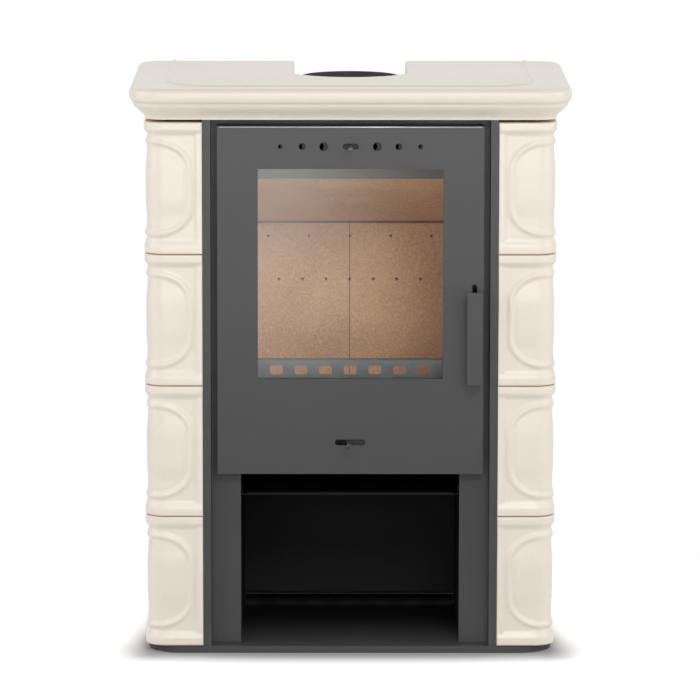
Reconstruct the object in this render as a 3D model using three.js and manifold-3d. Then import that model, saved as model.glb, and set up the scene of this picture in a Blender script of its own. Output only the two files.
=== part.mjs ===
// A free-standing wood stove clad in glazed ceramic tiles, with a glazed steel door over an open
// wood store. Millimetres, +Z up, +X to the right seen from the front, the front towards -Y.
// The origin is on the floor, midway between the left and right and the front and back of the whole.
// "Depth" below is the distance behind the front face of the door.
import * as THREE from 'three';
import { mergeVertices } from 'three/addons/utils/BufferGeometryUtils.js';
import Module from 'manifold-3d';

const wasm = await Module();
wasm.setup();

// ---------------------------------------------------------------- driving dimensions

const FIT = 0.3; // gap between two pieces that touch

// ceramic cladding: the plan outline that the tiles and the slab follow
const CLAD_HALF = 309; // centre of the stove to the outer face of the tiles
const CLAD_CORNER = 28; // plan radius of the front corners
const CLAD_REAR = 410; // depth of the rear edge of the cladding

// base tray
const BASE_HEIGHT = 11;
const BASE_CORNER = 55; // plan radius of its front corners, which the tiles overhang
const BASE_SHEET = 3;
const BASE_RIM = 25; // width of the ring that stands on the floor

// carcass of sheet steel
const CARCASS_TOP = 820; // height that the ceramic slab lies on
const PANEL_HALF = 212; // centre to the inner face of the side panels
const PANEL_SHEET = 2;
const STRIP_WIDTH = 12; // front edge of a side panel, seen beside the door
const PANEL_FLANGE_MARGIN = 5; // rear flange, short of the outer face of the tiles
const PANEL_SEAT = 20; // width of the seat for the slab on top of a side panel
const FRONT_RECESS = 29; // depth of the front panel behind the door face
const FRONT_SHEET = 3;
const MOUTH_RADIUS = 6;
const LATCH_OPENING = 13; // width of the slot in the front panel that the hook goes through
const LATCH_OPENING_RADIUS = 3;
const LATCH_OPENING_DROP = 6; // foot of that slot below the slot in the door
const LATCH_OPENING_TOP_DROP = 4; // top of that slot below the slot in the door
const SHIELD_SHEET = 1.5;
const SHIELD_LAP = 18; // how far the rear shield covers the side panels
const SHIELD_SLOT = 8; // width of a vent slot
const SHIELD_SLOT_HEIGHT = 60;
const SHIELD_SLOTS = 7; // vent slots in a row
const SHIELD_SLOT_MARGIN = 30; // side panel to the first bay of slots
const SHIELD_SLOT_INSET = 70; // end of the shield to the middle of a row

// tiles
const TILE_ROWS = 4;
const TILE_JOINT = 0.9;
const TILE_TOP_GAP = 4; // shadow gap between the top tile and the slab
const TILE_WALL = 12;
const TILE_RIM_DEPTH = 24; // depth of the rims that stiffen a tile at the back
const TILE_RIM = 12; // thickness of those rims
// Relief of a tile, [distance from its foot or top, outset from the plan outline]: edge, band,
// groove, and the rise of the field behind the ridge.
const TILE_FOOT_RELIEF = [[0, 2], [2.5, 3.8], [13, 3.8], [24, -0.4], [57, 0.3], [80, 1.3]];
const TILE_TOP_RELIEF = [[0, 2], [2.5, 3.8], [12, 3.8], [20.5, -1.5], [43, -1], [72, 1.3]];
const RIDGE_WIDTH = 11;
const RIDGE_CREST = 3.4; // width of its flat crest
const RIDGE_OUTSET = 3.1;
const RIDGE_SINK = 3; // edges of the ridge, inside the tile
const RIDGE_SIDE_INSET = 19; // end of a tile to the middle of the ridge
const RIDGE_TOP_INSET = 29; // top of a tile to the middle of the ridge
const RIDGE_FOOT_INSET = 33;
const RIDGE_CORNER_LENGTH = 52; // corners of the ridge are quarter ellipses
const RIDGE_CORNER_HEIGHT = 42;

// slab with its cornice
const SLAB_HEIGHT = 50.7;
const SLAB_OVERHANG = 27; // beyond the rear of the cladding
const SLAB_REAR_CORNER = 26;
const SLAB_FOOT_OUTSET = 2; // foot of the cornice, beyond the tiles
const CYMA_RISE = 24;
const CYMA_OUTSET = 18.5;
const CORNICE_STEP = 1.5; // edge of the torus beyond the cyma
const TORUS_LOWER = 13; // height of the torus below its widest line
const TORUS_UPPER = 11; // height of the torus above its widest line
const TORUS_SWELL = 4;
const SLAB_WALL = 24;
const SLAB_THICKNESS = 16; // of the flat part, over the hollows underneath
const SLAB_RIB = 26; // width of the ribs that lie on the side panels

// flue
const FLUE_DEPTH = 259; // depth of the flue's centre line
const FLUE_DIAMETER = 150;
const FLUE_WALL = 3;
const FLUE_BELOW_SLAB = 8.5; // rim of the collar below the top of the slab
const FLUE_FLANGE = 11;
const NOTCH_CLEARANCE = 13; // between the collar and the notch in the slab

// door
const DOOR_GAP = 10; // between the door and the side strips
const DOOR_BOTTOM = 278.2;
const DOOR_TOP_GAP = 9.7; // between the door and the foot of the slab
const DOOR_DEPTH = 27;
const DOOR_SHEET = 2.5;
const HINGE_SIDE_DEPTH = 20; // the tray is shallower beside the hinges, so that it can turn
const WINDOW_TOP_MARGIN = 64.7; // top of the door to the window
const WINDOW_SIDE_MARGIN = 23.5; // side of the firebox mouth to the window
const WINDOW_HEIGHT = 320.6;
const MOUTH_SIDE_MARGIN = 38; // edge of the door to the opening of the firebox
const MOUTH_END_MARGIN = 20;

// glass and its holders
const GLASS_THICKNESS = 4;
const GLASS_LAP = 9; // glass beyond the window
const GLASS_CORNER = 3;
const TAPE_WIDTH = 7;
const TAPE_THICKNESS = 1.5;
const RAIL_SHEET = 1.5;
const RAIL_FOOT = 10;
const RAIL_GAP = 1; // between the side of the glass and its rail

// door seal
const ROPE_DIAMETER = 10.4;
const CHANNEL_SHEET = 1.5;
const CHANNEL_DEPTH = 9;
const CHANNEL_RECESS = 2; // rear edges of the channel, inside the rear of the door

// hinges
const HINGE_INSET = 12; // hinge axis from the side of the door and from its front face
const HINGE_PIN = 8;
const HINGE_LUG_RADIUS = 8;
const HINGE_LUG_TAPER = 6; // how much narrower a lug is where it meets the front panel
const HINGE_LUG_THICKNESS = 6;
const HINGE_END_DISTANCE = 60; // end of the door to the middle of a lug
const HINGE_PIN_TAIL = 8; // pin below the lug
const HINGE_CLEARANCE = 3; // opening in the door's edge, round a lug

// air controls
const AIR_TOP_DROP = 30.9; // top of the door to the upper row of air holes
const AIR_HOLES = [[40.4, 13.6], [73, 10.5], [106, 7.5]]; // distance from the centre, diameter
const AIR_TOP_SLOT = 24;
const AIR_BOTTOM_RISE = 48.7; // foot of the door to the lower air slot
const AIR_BOTTOM_SLOT = 46.4;
const AIR_BOTTOM_REST = -2; // where the lower knob stands
const AIR_SLOT_HEIGHT = 9;
const KNOB_DIAMETER = 7;
const KNOB_LENGTH = 38; // in front of the door
const KNOB_SHANK = 4;
const KNOB_BEVEL = 1;
const KNOB_DIMPLE = 2.4; // diameter of the turner's centre hole in its front
const SLIDER_SHEET = 2;
const SLIDER_HEIGHT = 17.4;
const SLIDER_EDGE = 5; // sheet beyond the outermost opening of a slider
const GUIDE_SHEET = 1;
const GUIDE_LIP = 2; // guide over the top and foot of its slider
const GUIDE_LAP = 29; // guide beyond the outermost opening of its slider

// handle and latch
const HANDLE_STANDOFF = 40; // front of the grip before the door
const GRIP_WIDTH = 23.5;
const GRIP_HEIGHT = 141.5;
const GRIP_DROP = 127.7; // pivot to the foot of the grip
const GRIP_SHEET = 4;
const GRIP_BEVEL = 0.8;
const GRIP_OFFSET = 0.5; // middle of the grip, inside the middle of the lever
const LATCH_INSET = 13.7; // side of the door to the middle of the lever
const LEVER_SHEET = 5;
const LEVER_SLOT = 7.6;
const LEVER_SLOT_RISE = 21.6; // top of the slot above the pivot
const LEVER_SLOT_DROP = 24;
const PIVOT_DEPTH = 14;
const PIVOT_HEIGHT = 548;
const PIVOT_DIAMETER = 6;
const LEVER_BOSS = 9;
const LEVER_FOOT_DROP = 40; // pivot to the foot of the lever behind the grip
const LEVER_FOOT_DEPTH = 9;
const HOOK_THICKNESS = 12;
const HOOK_REACH = 56; // depth of the end of the hook
const HOOK_NOSE_WIDTH = 9;
const HOOK_TAPER = 2; // lead-in of the nose, and the rise of the hook's foot
const KEEPER_CLEARANCE = 1.1;
const KEEPER_SHEET = 3;
const KEEPER_HEIGHT = 32;
const KEEPER_LIP = 14;
const KEEPER_WIDTH = 12;
const KEEPER_RISE = 1.6; // lip of the keeper above the boss of the lever
const EAR_GAP = 2.5; // between the lever and each ear of its bracket
const EAR_SHEET = 2;
const BRACKET_HEIGHT = 28;
const BRACKET_REACH = 8; // ears behind the pivot
const BRACKET_WEB = 3; // height of the web below the slot

// firebox
const FIREBOX_SIDE_GAP = 32; // air gap between the side panels and the firebox
const FIREBOX_REAR_GAP = 42;
const FIREBOX_SHEET = 3;
const FIREBOX_RISE = 10; // foot of the firebox above the wood store opening
const LINER = 25;
const REAR_LINER = 30;
const REAR_LINER_JOINT = 1; // between the two halves of the rear lining
const FLOOR_TOP = 370; // upper face of the firebox floor
const SHELF_SHEET = 3;
const GRATE_WIDTH = 190;
const GRATE_LENGTH = 150;
const GRATE_THICKNESS = 14;
const GRATE_SLOT = 9;
const GRATE_SLOTS = 9;
const GRATE_DEPTH = 200; // depth of the middle of the grate
const GRATE_LEDGE = 10;
const GRATE_CORNER = 4;
const REAR_LINER_TOP = 621.7;
const BAFFLE_GAP = 3.3; // dark gap between the rear lining and the baffle
const BAFFLE_DROP = 70.3; // top of the mouth to the front of the baffle
const BAFFLE_FRONT_DEPTH = 100;
const BAFFLE_THICKNESS = 25;
const AIR_JETS = [[20.2, 64.6, 2], [89.1, 37.3, 3]]; // drop from the top, spacing, holes each side
const AIR_JET_DIAMETER = 5;
const RETAINER_DEPTH = 60;
const RETAINER_HEIGHT = 75.5;
const RETAINER_SHEET = 3;
const RETAINER_FLANGE = 14;
const RETAINER_BEND = 1; // bevel of the folded edge
const RETAINER_HOLE_RADIUS = 4;
const RETAINER_HOLES = 7;
const RETAINER_PITCH = 37.7;
const RETAINER_HOLE_WIDTH = 19.8;
const RETAINER_HOLE_HEIGHT = 14;
const RETAINER_HOLE_DROP = 16; // top of the retainer to the middle of its holes

// ash drawer
const DRAWER_SIDE_GAP = 37;
const DRAWER_FRONT = 40;
const DRAWER_REAR_GAP = 45;
const DRAWER_TOP_GAP = 8.7;
const DRAWER_SHEET = 1.5;
const DRAWER_LIP = 12;

// wood store
const STORE_HALF = 167;
const STORE_REAR_MARGIN = 65; // rear of the cladding to the rear wall of the store
const STORE_TOP_DROP = 4.2; // foot of the door to the top of the opening
const STORE_SHEET = 2;
const STORE_REAR_GAP = 17; // air gap under the rear wall
const STORE_CEILING_DROP = 39; // top of the opening to the ceiling shelf
const STORE_CEILING_FRONT = 60;
const STORE_CEILING_SIDE_GAP = 9;
const STORE_CEILING_HEM = 10; // depth of its front edge, folded back on itself
const STORE_RAIL_HEIGHT = 16;

// ---------------------------------------------------------------- places that follow from them

const SLAB_REAR = CLAD_REAR + SLAB_OVERHANG;
const CENTRE_DEPTH = (SLAB_REAR - HANDLE_STANDOFF) / 2;
const atDepth = (depth) => depth - CENTRE_DEPTH;

const DOOR_HALF = PANEL_HALF - DOOR_GAP;
const DOOR_TOP = CARCASS_TOP - DOOR_TOP_GAP;
const MOUTH_HALF = DOOR_HALF - MOUTH_SIDE_MARGIN;
const MOUTH_BOTTOM = DOOR_BOTTOM + MOUTH_END_MARGIN;
const MOUTH_TOP = DOOR_TOP - MOUTH_END_MARGIN;
const BEHIND_DOOR_SHEET = DOOR_SHEET + FIT;
const BEHIND_FRONT_PANEL = FRONT_RECESS + FRONT_SHEET + FIT;
const STRIP_OUTER = PANEL_HALF + STRIP_WIDTH;
const ON_BASE = BASE_HEIGHT + FIT;
const SLAB_FOOT = CARCASS_TOP + FIT;
const SLAB_TOP = SLAB_FOOT + SLAB_HEIGHT;
const NOTCH_RADIUS = FLUE_DIAMETER / 2 + NOTCH_CLEARANCE;
const SHELL_TOP = CARCASS_TOP - PANEL_SHEET - 2 * FIT - FIREBOX_SHEET;
const STORE_REAR = CLAD_REAR - STORE_REAR_MARGIN;
const STORE_TOP = DOOR_BOTTOM - STORE_TOP_DROP;
const STORE_CEILING = STORE_TOP - STORE_CEILING_DROP;
const STORE_CEILING_HALF = STORE_HALF - STORE_CEILING_SIDE_GAP;
const FIREBOX_HALF = PANEL_HALF - FIREBOX_SIDE_GAP;
const FIREBOX_REAR = CLAD_REAR - FIREBOX_REAR_GAP;
const FIREBOX_BOTTOM = STORE_TOP + FIREBOX_RISE;
const FIREBOX_INNER = FIREBOX_HALF - FIREBOX_SHEET;
const FIREBOX_BACK = FIREBOX_REAR - FIREBOX_SHEET;
const LINER_INNER = FIREBOX_INNER - FIT - LINER;
const REAR_LINER_FRONT = FIREBOX_BACK - FIT - REAR_LINER;
const ON_FLOOR = FLOOR_TOP + FIT;
const SHELF_TOP = FLOOR_TOP - LINER;
const RETAINER_TOP = FLOOR_TOP + RETAINER_HEIGHT;
const RETAINER_HOLE_MIDDLE = RETAINER_TOP - RETAINER_HOLE_DROP;
const BAFFLE_REAR_HEIGHT = REAR_LINER_TOP + BAFFLE_GAP;
const BAFFLE_FRONT_HEIGHT = MOUTH_TOP - BAFFLE_DROP;
const WINDOW_WIDTH = 2 * (MOUTH_HALF - WINDOW_SIDE_MARGIN);
const WINDOW_BOTTOM = DOOR_TOP - WINDOW_TOP_MARGIN - WINDOW_HEIGHT;
const AIR_TOP = DOOR_TOP - AIR_TOP_DROP;
const AIR_BOTTOM = DOOR_BOTTOM + AIR_BOTTOM_RISE;
const LATCH_CENTRE = DOOR_HALF - LATCH_INSET;
const GRIP_BOTTOM = PIVOT_HEIGHT - GRIP_DROP;
const LEVER_SLOT_TOP = PIVOT_HEIGHT + LEVER_SLOT_RISE;
const LEVER_SLOT_BOTTOM = PIVOT_HEIGHT - LEVER_SLOT_DROP;
const GLASS_FRONT = BEHIND_DOOR_SHEET + TAPE_THICKNESS + FIT;
const WINDOW_MIDDLE = WINDOW_BOTTOM + WINDOW_HEIGHT / 2;
const HINGE_X = -(DOOR_HALF - HINGE_INSET);

// ---------------------------------------------------------------- shapes and joins

function toSolid(geometry) {
  const bare = geometry.clone();
  bare.deleteAttribute('normal');
  bare.deleteAttribute('uv');
  const merged = mergeVertices(bare, 1e-4);
  const vertProperties = new Float32Array(merged.attributes.position.array);
  const triVerts = new Uint32Array(merged.index.array);
  return new wasm.Manifold(new wasm.Mesh({ numProp: 3, vertProperties, triVerts }));
}

function toGeometry(solid) {
  const mesh = solid.getMesh();
  const geometry = new THREE.BufferGeometry();
  geometry.setAttribute('position', new THREE.BufferAttribute(mesh.vertProperties, 3));
  geometry.setIndex(new THREE.BufferAttribute(mesh.triVerts, 1));
  return geometry;
}

function cut(geometry, ...tools) {
  return toGeometry(tools.reduce((solid, tool) => solid.subtract(toSolid(tool)), toSolid(geometry)));
}

function join(geometry, ...others) {
  return toGeometry(others.reduce((solid, other) => solid.add(toSolid(other)), toSolid(geometry)));
}

// A block given by its limits to left and right, in depth, and in height.
function block([left, right], [front, back], [low, high]) {
  const geometry = new THREE.BoxGeometry(right - left, back - front, high - low);
  geometry.translate((left + right) / 2, atDepth((front + back) / 2), (low + high) / 2);
  return geometry;
}

function polygon(points) {
  return new THREE.Shape(points.map(([u, v]) => new THREE.Vector2(u, v)));
}

// A rounded rectangle, as a shape or, for a hole, as a path.
function roundedRect(u, v, width, height, radius, Kind = THREE.Shape) {
  const path = new Kind();
  const a = width / 2 - radius;
  const b = height / 2 - radius;
  path.absarc(u + a, v + b, radius, 0, Math.PI / 2);
  path.absarc(u - a, v + b, radius, Math.PI / 2, Math.PI);
  path.absarc(u - a, v - b, radius, Math.PI, 1.5 * Math.PI);
  path.absarc(u + a, v - b, radius, 1.5 * Math.PI, 2 * Math.PI);
  return path;
}

function extrude(shape, depth, curveSegments) {
  return new THREE.ExtrudeGeometry(shape, { depth, curveSegments, bevelEnabled: false });
}

// A shape seen from the front, [x, z], given thickness from one depth to another.
function frontShape(shape, [front, back], curveSegments = 4) {
  const geometry = extrude(shape, back - front, curveSegments);
  geometry.rotateX(Math.PI / 2);
  geometry.translate(0, atDepth(back), 0);
  return geometry;
}

// A shape seen from the right, [depth, z], given width from one x to another.
function sideShape(shape, [left, right], curveSegments = 4) {
  const geometry = extrude(shape, right - left, curveSegments);
  const axes = new THREE.Matrix4();
  axes.makeBasis(new THREE.Vector3(0, 1, 0), new THREE.Vector3(0, 0, 1), new THREE.Vector3(1, 0, 0));
  geometry.applyMatrix4(axes);
  geometry.translate(left, atDepth(0), 0);
  return geometry;
}

// A shape seen from above, [x, depth], given height from one level to another.
function planShape(shape, [low, high], curveSegments = 6) {
  const geometry = extrude(shape, high - low, curveSegments);
  geometry.translate(0, atDepth(0), low);
  return geometry;
}

function signedVolume(positions, indices) {
  const corner = (k) => new THREE.Vector3().fromArray(positions, 3 * indices[k]);
  let volume = 0;
  for (let k = 0; k < indices.length; k += 3) {
    volume += corner(k).dot(corner(k + 1).cross(corner(k + 2))) / 6;
  }
  return volume;
}

// Makes a geometry of shared points and triangles, turned so that its faces point outwards.
function closedGeometry(positions, indices) {
  const faces = signedVolume(positions, indices) > 0 ? indices : [...indices].reverse();
  const geometry = new THREE.BufferGeometry();
  geometry.setAttribute('position', new THREE.Float32BufferAttribute(positions, 3));
  geometry.setIndex(faces);
  return geometry;
}

function mirrored(geometry) {
  const copy = geometry.index ? geometry.clone() : mergeVertices(geometry);
  copy.scale(-1, 1, 1);
  return closedGeometry([...copy.attributes.position.array], [...copy.index.array]);
}

// Walls between neighbouring rings of points; with closed, the last ring joins the first.
function ringWalls(ringCount, pointCount, closed) {
  const indices = [];
  const last = closed ? ringCount : ringCount - 1;
  for (let i = 0; i < last; i += 1) {
    for (let j = 0; j < pointCount; j += 1) {
      const a = i * pointCount + j;
      const b = i * pointCount + (j + 1) % pointCount;
      const c = ((i + 1) % ringCount) * pointCount + j;
      const d = ((i + 1) % ringCount) * pointCount + (j + 1) % pointCount;
      indices.push(a, c, b, b, c, d);
    }
  }
  return indices;
}

// Two flat ends over the first and the last ring, whose outline in the flat is given.
function ringCaps(ringCount, outline) {
  const flat = outline.map(([u, v]) => new THREE.Vector2(u, v));
  const end = (ringCount - 1) * outline.length;
  const faces = THREE.ShapeUtils.triangulateShape(flat, []);
  return faces.flatMap(([p, q, r]) => [p, q, r, end + p, end + r, end + q]);
}

// Carries a profile of [outset, offset] points round stations; a station gives a place and an
// outward direction, and the offset is measured along the fixed axis.
function carried(profile, stations, axis, closed) {
  const positions = stations.flatMap(({ place, out }) => profile.flatMap(([outset, offset]) => {
    const point = place.clone().addScaledVector(out, outset).addScaledVector(axis, offset);
    return point.toArray();
  }));
  const walls = ringWalls(stations.length, profile.length, closed);
  const caps = closed ? [] : ringCaps(stations.length, profile);
  return closedGeometry(positions, [...walls, ...caps]);
}

// Stations round an upright rectangle behind the door face, with square or rounded corners.
function frameStations(halfWidth, halfHeight, middle, radius, steps) {
  const stations = [];
  for (const [sx, sz, start] of [[1, 1, 0], [-1, 1, 1], [-1, -1, 2], [1, -1, 3]]) {
    if (radius === 0) {
      const place = new THREE.Vector3(sx * halfWidth, atDepth(0), middle + sz * halfHeight);
      stations.push({ place, out: new THREE.Vector3(sx, 0, sz) });
      continue;
    }
    for (let k = 0; k <= steps; k += 1) {
      const angle = (start + k / steps) * Math.PI / 2;
      const out = new THREE.Vector3(Math.cos(angle), 0, Math.sin(angle));
      const x = sx * (halfWidth - radius) + radius * out.x;
      const z = middle + sz * (halfHeight - radius) + radius * out.z;
      stations.push({ place: new THREE.Vector3(x, atDepth(0), z), out });
    }
  }
  return stations;
}

const DEPTHWARDS = new THREE.Vector3(0, 1, 0);
const UPWARDS = new THREE.Vector3(0, 0, 1);

function pinAlongZ(x, depth, [low, high], diameter, sides = 16) {
  const geometry = new THREE.CylinderGeometry(diameter / 2, diameter / 2, high - low, sides);
  geometry.rotateX(Math.PI / 2);
  geometry.translate(x, atDepth(depth), (low + high) / 2);
  return geometry;
}

function pinAlongX([left, right], depth, z, diameter, sides = 16) {
  const geometry = new THREE.CylinderGeometry(diameter / 2, diameter / 2, right - left, sides);
  geometry.rotateZ(Math.PI / 2);
  geometry.translate((left + right) / 2, atDepth(depth), z);
  return geometry;
}

function pinAlongY(x, [front, back], z, diameter, sides = 16) {
  const geometry = new THREE.CylinderGeometry(diameter / 2, diameter / 2, back - front, sides);
  geometry.translate(x, atDepth((front + back) / 2), z);
  return geometry;
}

// ---------------------------------------------------------------- finishes

const finish = (color, roughness, metalness) => () => (
  new THREE.MeshStandardMaterial({ color, roughness, metalness })
);
const darkPaint = finish(0x4f5052, 0.62, 0.35);
const glaze = finish(0xede4d6, 0.18, 0);
const vermiculite = finish(0xc0925f, 0.95, 0);
const castIron = finish(0x2b2b2c, 0.7, 0.6);
const blueSteel = finish(0x565b61, 0.45, 0.8);
const brightSteel = finish(0x9a9b9d, 0.35, 0.95);
const glassSheet = () => new THREE.MeshStandardMaterial({
  color: 0xe8eef0, roughness: 0.04, metalness: 0, transparent: true, opacity: 0.25,
});
const rope = finish(0x8d8b86, 0.95, 0);

const stove = new THREE.Group();

function add(name, geometry, material) {
  geometry.computeVertexNormals();
  const mesh = new THREE.Mesh(geometry, material);
  mesh.name = name;
  stove.add(mesh);
}

// ---------------------------------------------------------------- base and carcass

// Plan outline of the base tray, drawn in by a distance, to a given rear edge.
function trayOutline(inset, rear) {
  const half = CLAD_HALF - inset;
  const radius = BASE_CORNER - inset;
  const shape = new THREE.Shape();
  shape.moveTo(half, rear);
  shape.lineTo(-half, rear);
  shape.absarc(radius - half, BASE_CORNER, radius, Math.PI, 1.5 * Math.PI);
  shape.absarc(half - radius, BASE_CORNER, radius, 1.5 * Math.PI, 2 * Math.PI);
  return shape;
}

function baseTray() {
  const rear = CLAD_REAR + PANEL_SHEET;
  const plate = planShape(trayOutline(0, rear), [0, BASE_HEIGHT], 8);
  const inside = trayOutline(BASE_SHEET, rear - BASE_SHEET);
  const room = planShape(inside, [BASE_SHEET, BASE_HEIGHT - BASE_SHEET], 8);
  const opening = planShape(trayOutline(BASE_RIM, rear - BASE_RIM), [-1, BASE_SHEET + 1], 8);
  return cut(plate, room, opening);
}

// Folded side panel: front strip, web, rear flange behind the tiles and a seat for the slab.
function sidePanel() {
  const web = PANEL_HALF + PANEL_SHEET;
  const flangeEnd = CLAD_HALF - PANEL_FLANGE_MARGIN;
  const plan = polygon([
    [PANEL_HALF, 0],
    [STRIP_OUTER, 0],
    [STRIP_OUTER, PANEL_SHEET],
    [web, PANEL_SHEET],
    [web, CLAD_REAR - PANEL_SHEET],
    [flangeEnd, CLAD_REAR - PANEL_SHEET],
    [flangeEnd, CLAD_REAR],
    [PANEL_HALF, CLAD_REAR],
  ]);
  const seatEdge = PANEL_HALF - PANEL_SEAT;
  const seatEnds = [BEHIND_FRONT_PANEL, CLAD_REAR - BASE_RIM];
  const seat = block([seatEdge, web], seatEnds, [CARCASS_TOP - PANEL_SHEET, CARCASS_TOP]);
  return join(planShape(plan, [ON_BASE, CARCASS_TOP]), seat);
}

// Front panel with the firebox mouth, the wood store opening below it and the slot for the latch.
function frontPanel() {
  const edge = PANEL_HALF - FIT;
  const outline = polygon([
    [-edge, ON_BASE],
    [-STORE_HALF, ON_BASE],
    [-STORE_HALF, STORE_TOP],
    [STORE_HALF, STORE_TOP],
    [STORE_HALF, ON_BASE],
    [edge, ON_BASE],
    [edge, SHELL_TOP],
    [-edge, SHELL_TOP],
  ]);
  outline.holes.push(roundedRect(
    0,
    (MOUTH_BOTTOM + MOUTH_TOP) / 2,
    2 * MOUTH_HALF,
    MOUTH_TOP - MOUTH_BOTTOM,
    MOUTH_RADIUS,
    THREE.Path,
  ));
  const slotLow = LEVER_SLOT_BOTTOM - LATCH_OPENING_DROP;
  const slotHigh = LEVER_SLOT_TOP - LATCH_OPENING_TOP_DROP;
  outline.holes.push(roundedRect(
    LATCH_CENTRE,
    (slotLow + slotHigh) / 2,
    LATCH_OPENING,
    slotHigh - slotLow,
    LATCH_OPENING_RADIUS,
    THREE.Path,
  ));
  return frontShape(outline, [FRONT_RECESS, FRONT_RECESS + FRONT_SHEET], 3);
}

// Welded box of the firebox, open to the front panel and to the top plate.
function fireboxShell() {
  const ends = [BEHIND_FRONT_PANEL, FIREBOX_REAR];
  const box = block([-FIREBOX_HALF, FIREBOX_HALF], ends, [FIREBOX_BOTTOM, SHELL_TOP]);
  const room = block(
    [-FIREBOX_INNER, FIREBOX_INNER],
    [FRONT_RECESS, FIREBOX_BACK],
    [FIREBOX_BOTTOM + FIREBOX_SHEET, SHELL_TOP + 1],
  );
  return cut(box, room);
}

function topPlate() {
  const edge = PANEL_HALF - FIT;
  const ends = [FRONT_RECESS, CLAD_REAR - PANEL_SHEET - FIT];
  const levels = [SHELL_TOP + FIT, SHELL_TOP + FIT + FIREBOX_SHEET];
  const bore = FLUE_DIAMETER - 2 * FLUE_WALL;
  return cut(
    block([-edge, edge], ends, levels),
    pinAlongZ(0, FLUE_DEPTH, [levels[0] - 1, levels[1] + 1], bore, 32),
  );
}

function flueCollar() {
  const outer = FLUE_DIAMETER / 2;
  const inner = outer - FLUE_WALL;
  const low = SHELL_TOP + 2 * FIT + FIREBOX_SHEET;
  const high = SLAB_TOP - FLUE_BELOW_SLAB;
  const profile = [
    [inner, low],
    [outer + FLUE_FLANGE, low],
    [outer + FLUE_FLANGE, low + FLUE_WALL],
    [outer, low + FLUE_WALL],
    [outer, high],
    [inner, high],
    [inner, low],
  ].map(([r, z]) => new THREE.Vector2(r, z));
  const geometry = new THREE.LatheGeometry(profile, 32);
  geometry.rotateX(Math.PI / 2);
  geometry.translate(0, atDepth(FLUE_DEPTH), 0);
  return geometry;
}

// Rear heat shield with a row of vent slots near its foot and another near its top.
function rearShield() {
  const half = PANEL_HALF + SHIELD_LAP;
  const low = ON_BASE;
  const high = SHELL_TOP;
  const plate = polygon([[-half, low], [half, low], [half, high], [-half, high]]);
  const pitch = 2 * (PANEL_HALF - SHIELD_SLOT_MARGIN) / SHIELD_SLOTS;
  for (const z of [low + SHIELD_SLOT_INSET, high - SHIELD_SLOT_INSET]) {
    for (let k = 0; k < SHIELD_SLOTS; k += 1) {
      const x = (k - (SHIELD_SLOTS - 1) / 2) * pitch;
      const height = SHIELD_SLOT_HEIGHT;
      plate.holes.push(roundedRect(x, z, SHIELD_SLOT, height, SHIELD_SLOT / 2, THREE.Path));
    }
  }
  return frontShape(plate, [CLAD_REAR + FIT, CLAD_REAR + FIT + SHIELD_SHEET], 1);
}

// ---------------------------------------------------------------- wood store

// Side walls and rear wall folded from one sheet, with an air gap under the rear wall.
function storeLiner() {
  const inner = STORE_HALF + FIT;
  const outer = inner + STORE_SHEET;
  const plan = polygon([
    [-outer, BEHIND_FRONT_PANEL],
    [-inner, BEHIND_FRONT_PANEL],
    [-inner, STORE_REAR],
    [inner, STORE_REAR],
    [inner, BEHIND_FRONT_PANEL],
    [outer, BEHIND_FRONT_PANEL],
    [outer, STORE_REAR + STORE_SHEET],
    [-outer, STORE_REAR + STORE_SHEET],
  ]);
  const gap = block(
    [-inner + STORE_SHEET, inner - STORE_SHEET],
    [STORE_REAR - 1, STORE_REAR + STORE_SHEET + 1],
    [0, BASE_HEIGHT + STORE_REAR_GAP],
  );
  return cut(planShape(plan, [ON_BASE, STORE_TOP]), gap);
}

// Shelf that keeps the firebox heat off the wood; its front edge is folded back flat.
function storeCeiling() {
  const low = STORE_CEILING;
  const front = STORE_CEILING_FRONT;
  const section = polygon([
    [front, low],
    [STORE_REAR - FIT, low],
    [STORE_REAR - FIT, low + STORE_SHEET],
    [front + STORE_CEILING_HEM, low + STORE_SHEET],
    [front + STORE_CEILING_HEM, low + 2 * STORE_SHEET],
    [front, low + 2 * STORE_SHEET],
  ]);
  return sideShape(section, [-STORE_CEILING_HALF, STORE_CEILING_HALF]);
}

// Angle that carries the shelf on the side wall of the wood store.
function storeRail() {
  const wall = STORE_HALF;
  const edge = STORE_CEILING_HALF + FIT;
  const low = STORE_CEILING;
  const section = polygon([
    [edge, low],
    [wall, low],
    [wall, low + STORE_RAIL_HEIGHT],
    [wall - STORE_SHEET, low + STORE_RAIL_HEIGHT],
    [wall - STORE_SHEET, low + STORE_SHEET],
    [edge, low + STORE_SHEET],
  ]);
  const geometry = extrude(section, STORE_REAR - STORE_CEILING_FRONT - FIT, 1);
  geometry.rotateX(Math.PI / 2);
  geometry.translate(0, atDepth(STORE_REAR - FIT), 0);
  return geometry;
}

// ---------------------------------------------------------------- ceramic tiles

const TILE_HEIGHT = (
  (CARCASS_TOP - TILE_TOP_GAP - BASE_HEIGHT) / TILE_ROWS - TILE_JOINT
);
const TILE_START = STRIP_OUTER + FIT; // front end of a tile, beside the steel strip
const TILE_FRONT_RUN = CLAD_HALF - CLAD_CORNER - TILE_START;
const TILE_BEND = CLAD_CORNER * Math.PI / 2;
const TILE_REAR = CLAD_REAR - PANEL_SHEET - FIT;
const TILE_LENGTH = TILE_FRONT_RUN + TILE_BEND + TILE_REAR - CLAD_CORNER;
const TILE_BEND_STEPS = 5;
const RIDGE_TURNS = 5;

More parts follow.
